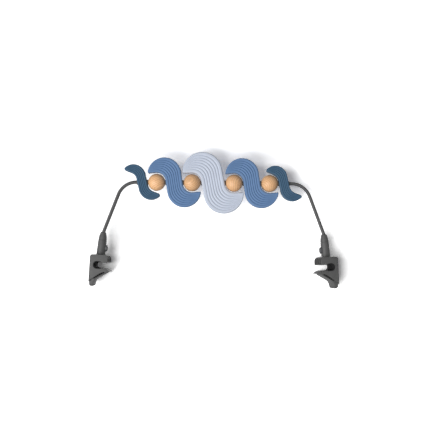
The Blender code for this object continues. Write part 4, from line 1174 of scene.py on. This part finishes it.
class BUILD_OT_stage(bpy.types.Operator):
    """Set the camera, the soft studio light and the pale surface that the part leans on"""

    bl_idname = "toybar.stage"
    bl_label = "Stage"

    def execute(self, context):
        sizes = context.scene.toybar_stage
        self.camera(context, sizes)
        for name, (place, size) in LAMPS.items():
            self.lamp(name + "_lamp", place, size, getattr(sizes, name))
        self.floor()
        self.room(context, sizes.ambient)
        context.scene.view_settings.view_transform = "Standard"
        return {"FINISHED"}

    def camera(self, context, sizes):
        """The camera looks along +Y, low, with the picture turned a little."""
        lens = bpy.data.cameras.new("camera")
        made = added("camera", lens)
        lens.lens = lens.sensor_width * sizes.distance / sizes.view_width
        lens.shift_y = (sizes.aim_height - sizes.height) / sizes.view_width
        turn = Matrix.Rotation(sizes.roll, 4, "Y") @ Matrix.Rotation(90 * DEGREE, 4, "X")
        stand = Matrix.Translation((sizes.aside, -sizes.distance, sizes.height))
        made.matrix_world = stand @ turn
        context.scene.camera = made

    def lamp(self, name, place, size, watts):
        """A square lamp that looks at the part."""
        light = bpy.data.lights.new(name, "AREA")
        light.size = size
        light.energy = watts
        made = added(name, light)
        made.location = place
        sight = Vector(LAMP_TARGET) - Vector(place)
        made.rotation_euler = sight.to_track_quat("-Z", "Y").to_euler()

    def floor(self):
        """The pale surface that the part leans on: a plane with a shallow hollow of
        y = depth * s(across) * s(up), where s falls smoothly from 1 to 0 over a bank. It takes
        shadows. Only the camera sees it, and only from its front, so that it hides nothing
        from behind."""
        (low_z, low_y), (high_z, high_y) = SURFACE_LOW, SURFACE_HIGH
        fine = np.linspace(-HOLLOW_GRID_REACH, HOLLOW_GRID_REACH, HOLLOW_GRID_LINES)
        spread = np.concatenate([[-SURFACE_REACH], fine, [SURFACE_REACH]])
        x, z = np.meshgrid(spread, spread + bar_middle().z)
        slope = (high_y - low_y) / (high_z - low_z)
        hollow = HOLLOW_DEPTH
        for away, flat, banks in zip((x, z - bar_middle().z), HOLLOW_FLAT, HOLLOW_BANKS):
            step = np.clip((np.abs(away) - flat) / np.where(away < 0, *banks), 0, 1)
            hollow = hollow * (1 - smooth(step))
        grid = np.stack([x, low_y + slope * (z - low_z) + hollow, z], -1)
        mesh = bpy.data.meshes.new("floor")
        faces = grid_faces(*x.shape, False, False).tolist()
        mesh.from_pydata(grid.reshape(-1, 3).tolist(), [], faces)
        mesh.shade_smooth()
        mesh.materials.append(self.white_paint())
        floor = added("floor", mesh)
        floor.visible_diffuse = False
        floor.visible_glossy = False
        floor.visible_transmission = False
        floor.visible_shadow = False

    def white_paint(self):
        """Matt white, lifted as in an overexposed picture, and clear from behind."""
        paint = bpy.data.materials.new("floor_white")
        paint.use_nodes = True
        tree = paint.node_tree
        tree.nodes.clear()
        matt, lift = (node(tree, "BsdfDiffuse", {"Color": (white, white, white, 1)})
                      for white in (WHITE, WHITE_LIFT))
        both = node(tree, "AddShader", {0: matt.outputs[0], 1: lift.outputs[0]})
        clear = node(tree, "BsdfTransparent", {})
        facing = node(tree, "NewGeometry", {})
        side = node(tree, "MixShader", {"Fac": facing.outputs["Backfacing"],
                                        1: both.outputs[0], 2: clear.outputs[0]})
        node(tree, "OutputMaterial", {"Surface": side.outputs[0]})
        return paint

    def room(self, context, strength):
        """Even light from all round, and white to the camera and in reflections and glass."""
        world = bpy.data.worlds.new("room")
        world.use_nodes = True
        context.scene.world = world
        tree = world.node_tree
        tree.nodes.clear()
        even, white = (node(tree, "Background", {"Color": (1, 1, 1, 1), "Strength": level})
                       for level in (strength, 1.0))
        path = node(tree, "LightPath", {})
        seen = path.outputs["Is Camera Ray"]
        for ray in ("Is Glossy Ray", "Is Transmission Ray"):
            rays = {0: seen, 1: path.outputs[ray]}
            seen = node(tree, "Math", rays, operation="MAXIMUM").outputs[0]
        mixed = node(tree, "MixShader", {"Fac": seen, 1: even.outputs[0],
                                         2: white.outputs[0]})
        node(tree, "OutputWorld", {"Surface": mixed.outputs[0]})


# Panel and registration

class BUILD_PT_toybar(bpy.types.Panel):
    """Lists the sizes, the colours and the build steps"""

    bl_idname = "BUILD_PT_toybar"
    bl_label = "Toy Bar"
    bl_space_type = "VIEW_3D"
    bl_region_type = "UI"
    bl_category = "Toy Bar"

    def draw(self, context):
        scene = context.scene
        for group in (scene.toybar_row, scene.toybar_frame, scene.toybar_stage):
            box = self.layout.box()
            for name in group.__annotations__:
                box.prop(group, name)
        for step in STEPS:
            self.layout.operator(step.bl_idname)


STEPS = (BUILD_OT_waves, BUILD_OT_balls, BUILD_OT_bar, BUILD_OT_necks, BUILD_OT_clamps,
         BUILD_OT_stage)
GROUPS = {"toybar_row": RowSizes, "toybar_frame": FrameSizes, "toybar_stage": StageSizes}


def register():
    """Register the classes and hang the property groups on the scene."""
    for item in (*GROUPS.values(), *STEPS, BUILD_PT_toybar):
        bpy.utils.register_class(item)
    for name, group in GROUPS.items():
        setattr(bpy.types.Scene, name, bpy.props.PointerProperty(type=group))


def unregister():
    """Undo register."""
    for name in GROUPS:
        delattr(bpy.types.Scene, name)
    for item in reversed((*GROUPS.values(), *STEPS, BUILD_PT_toybar)):
        bpy.utils.unregister_class(item)


def main():
    """Build every group of pieces and the stage."""
    register()
    bpy.ops.toybar.waves()
    bpy.ops.toybar.balls()
    bpy.ops.toybar.bar()
    bpy.ops.toybar.necks()
    bpy.ops.toybar.clamps()
    bpy.ops.toybar.stage()
    bpy.context.view_layer.update()


if __name__ == "__main__":
    main()
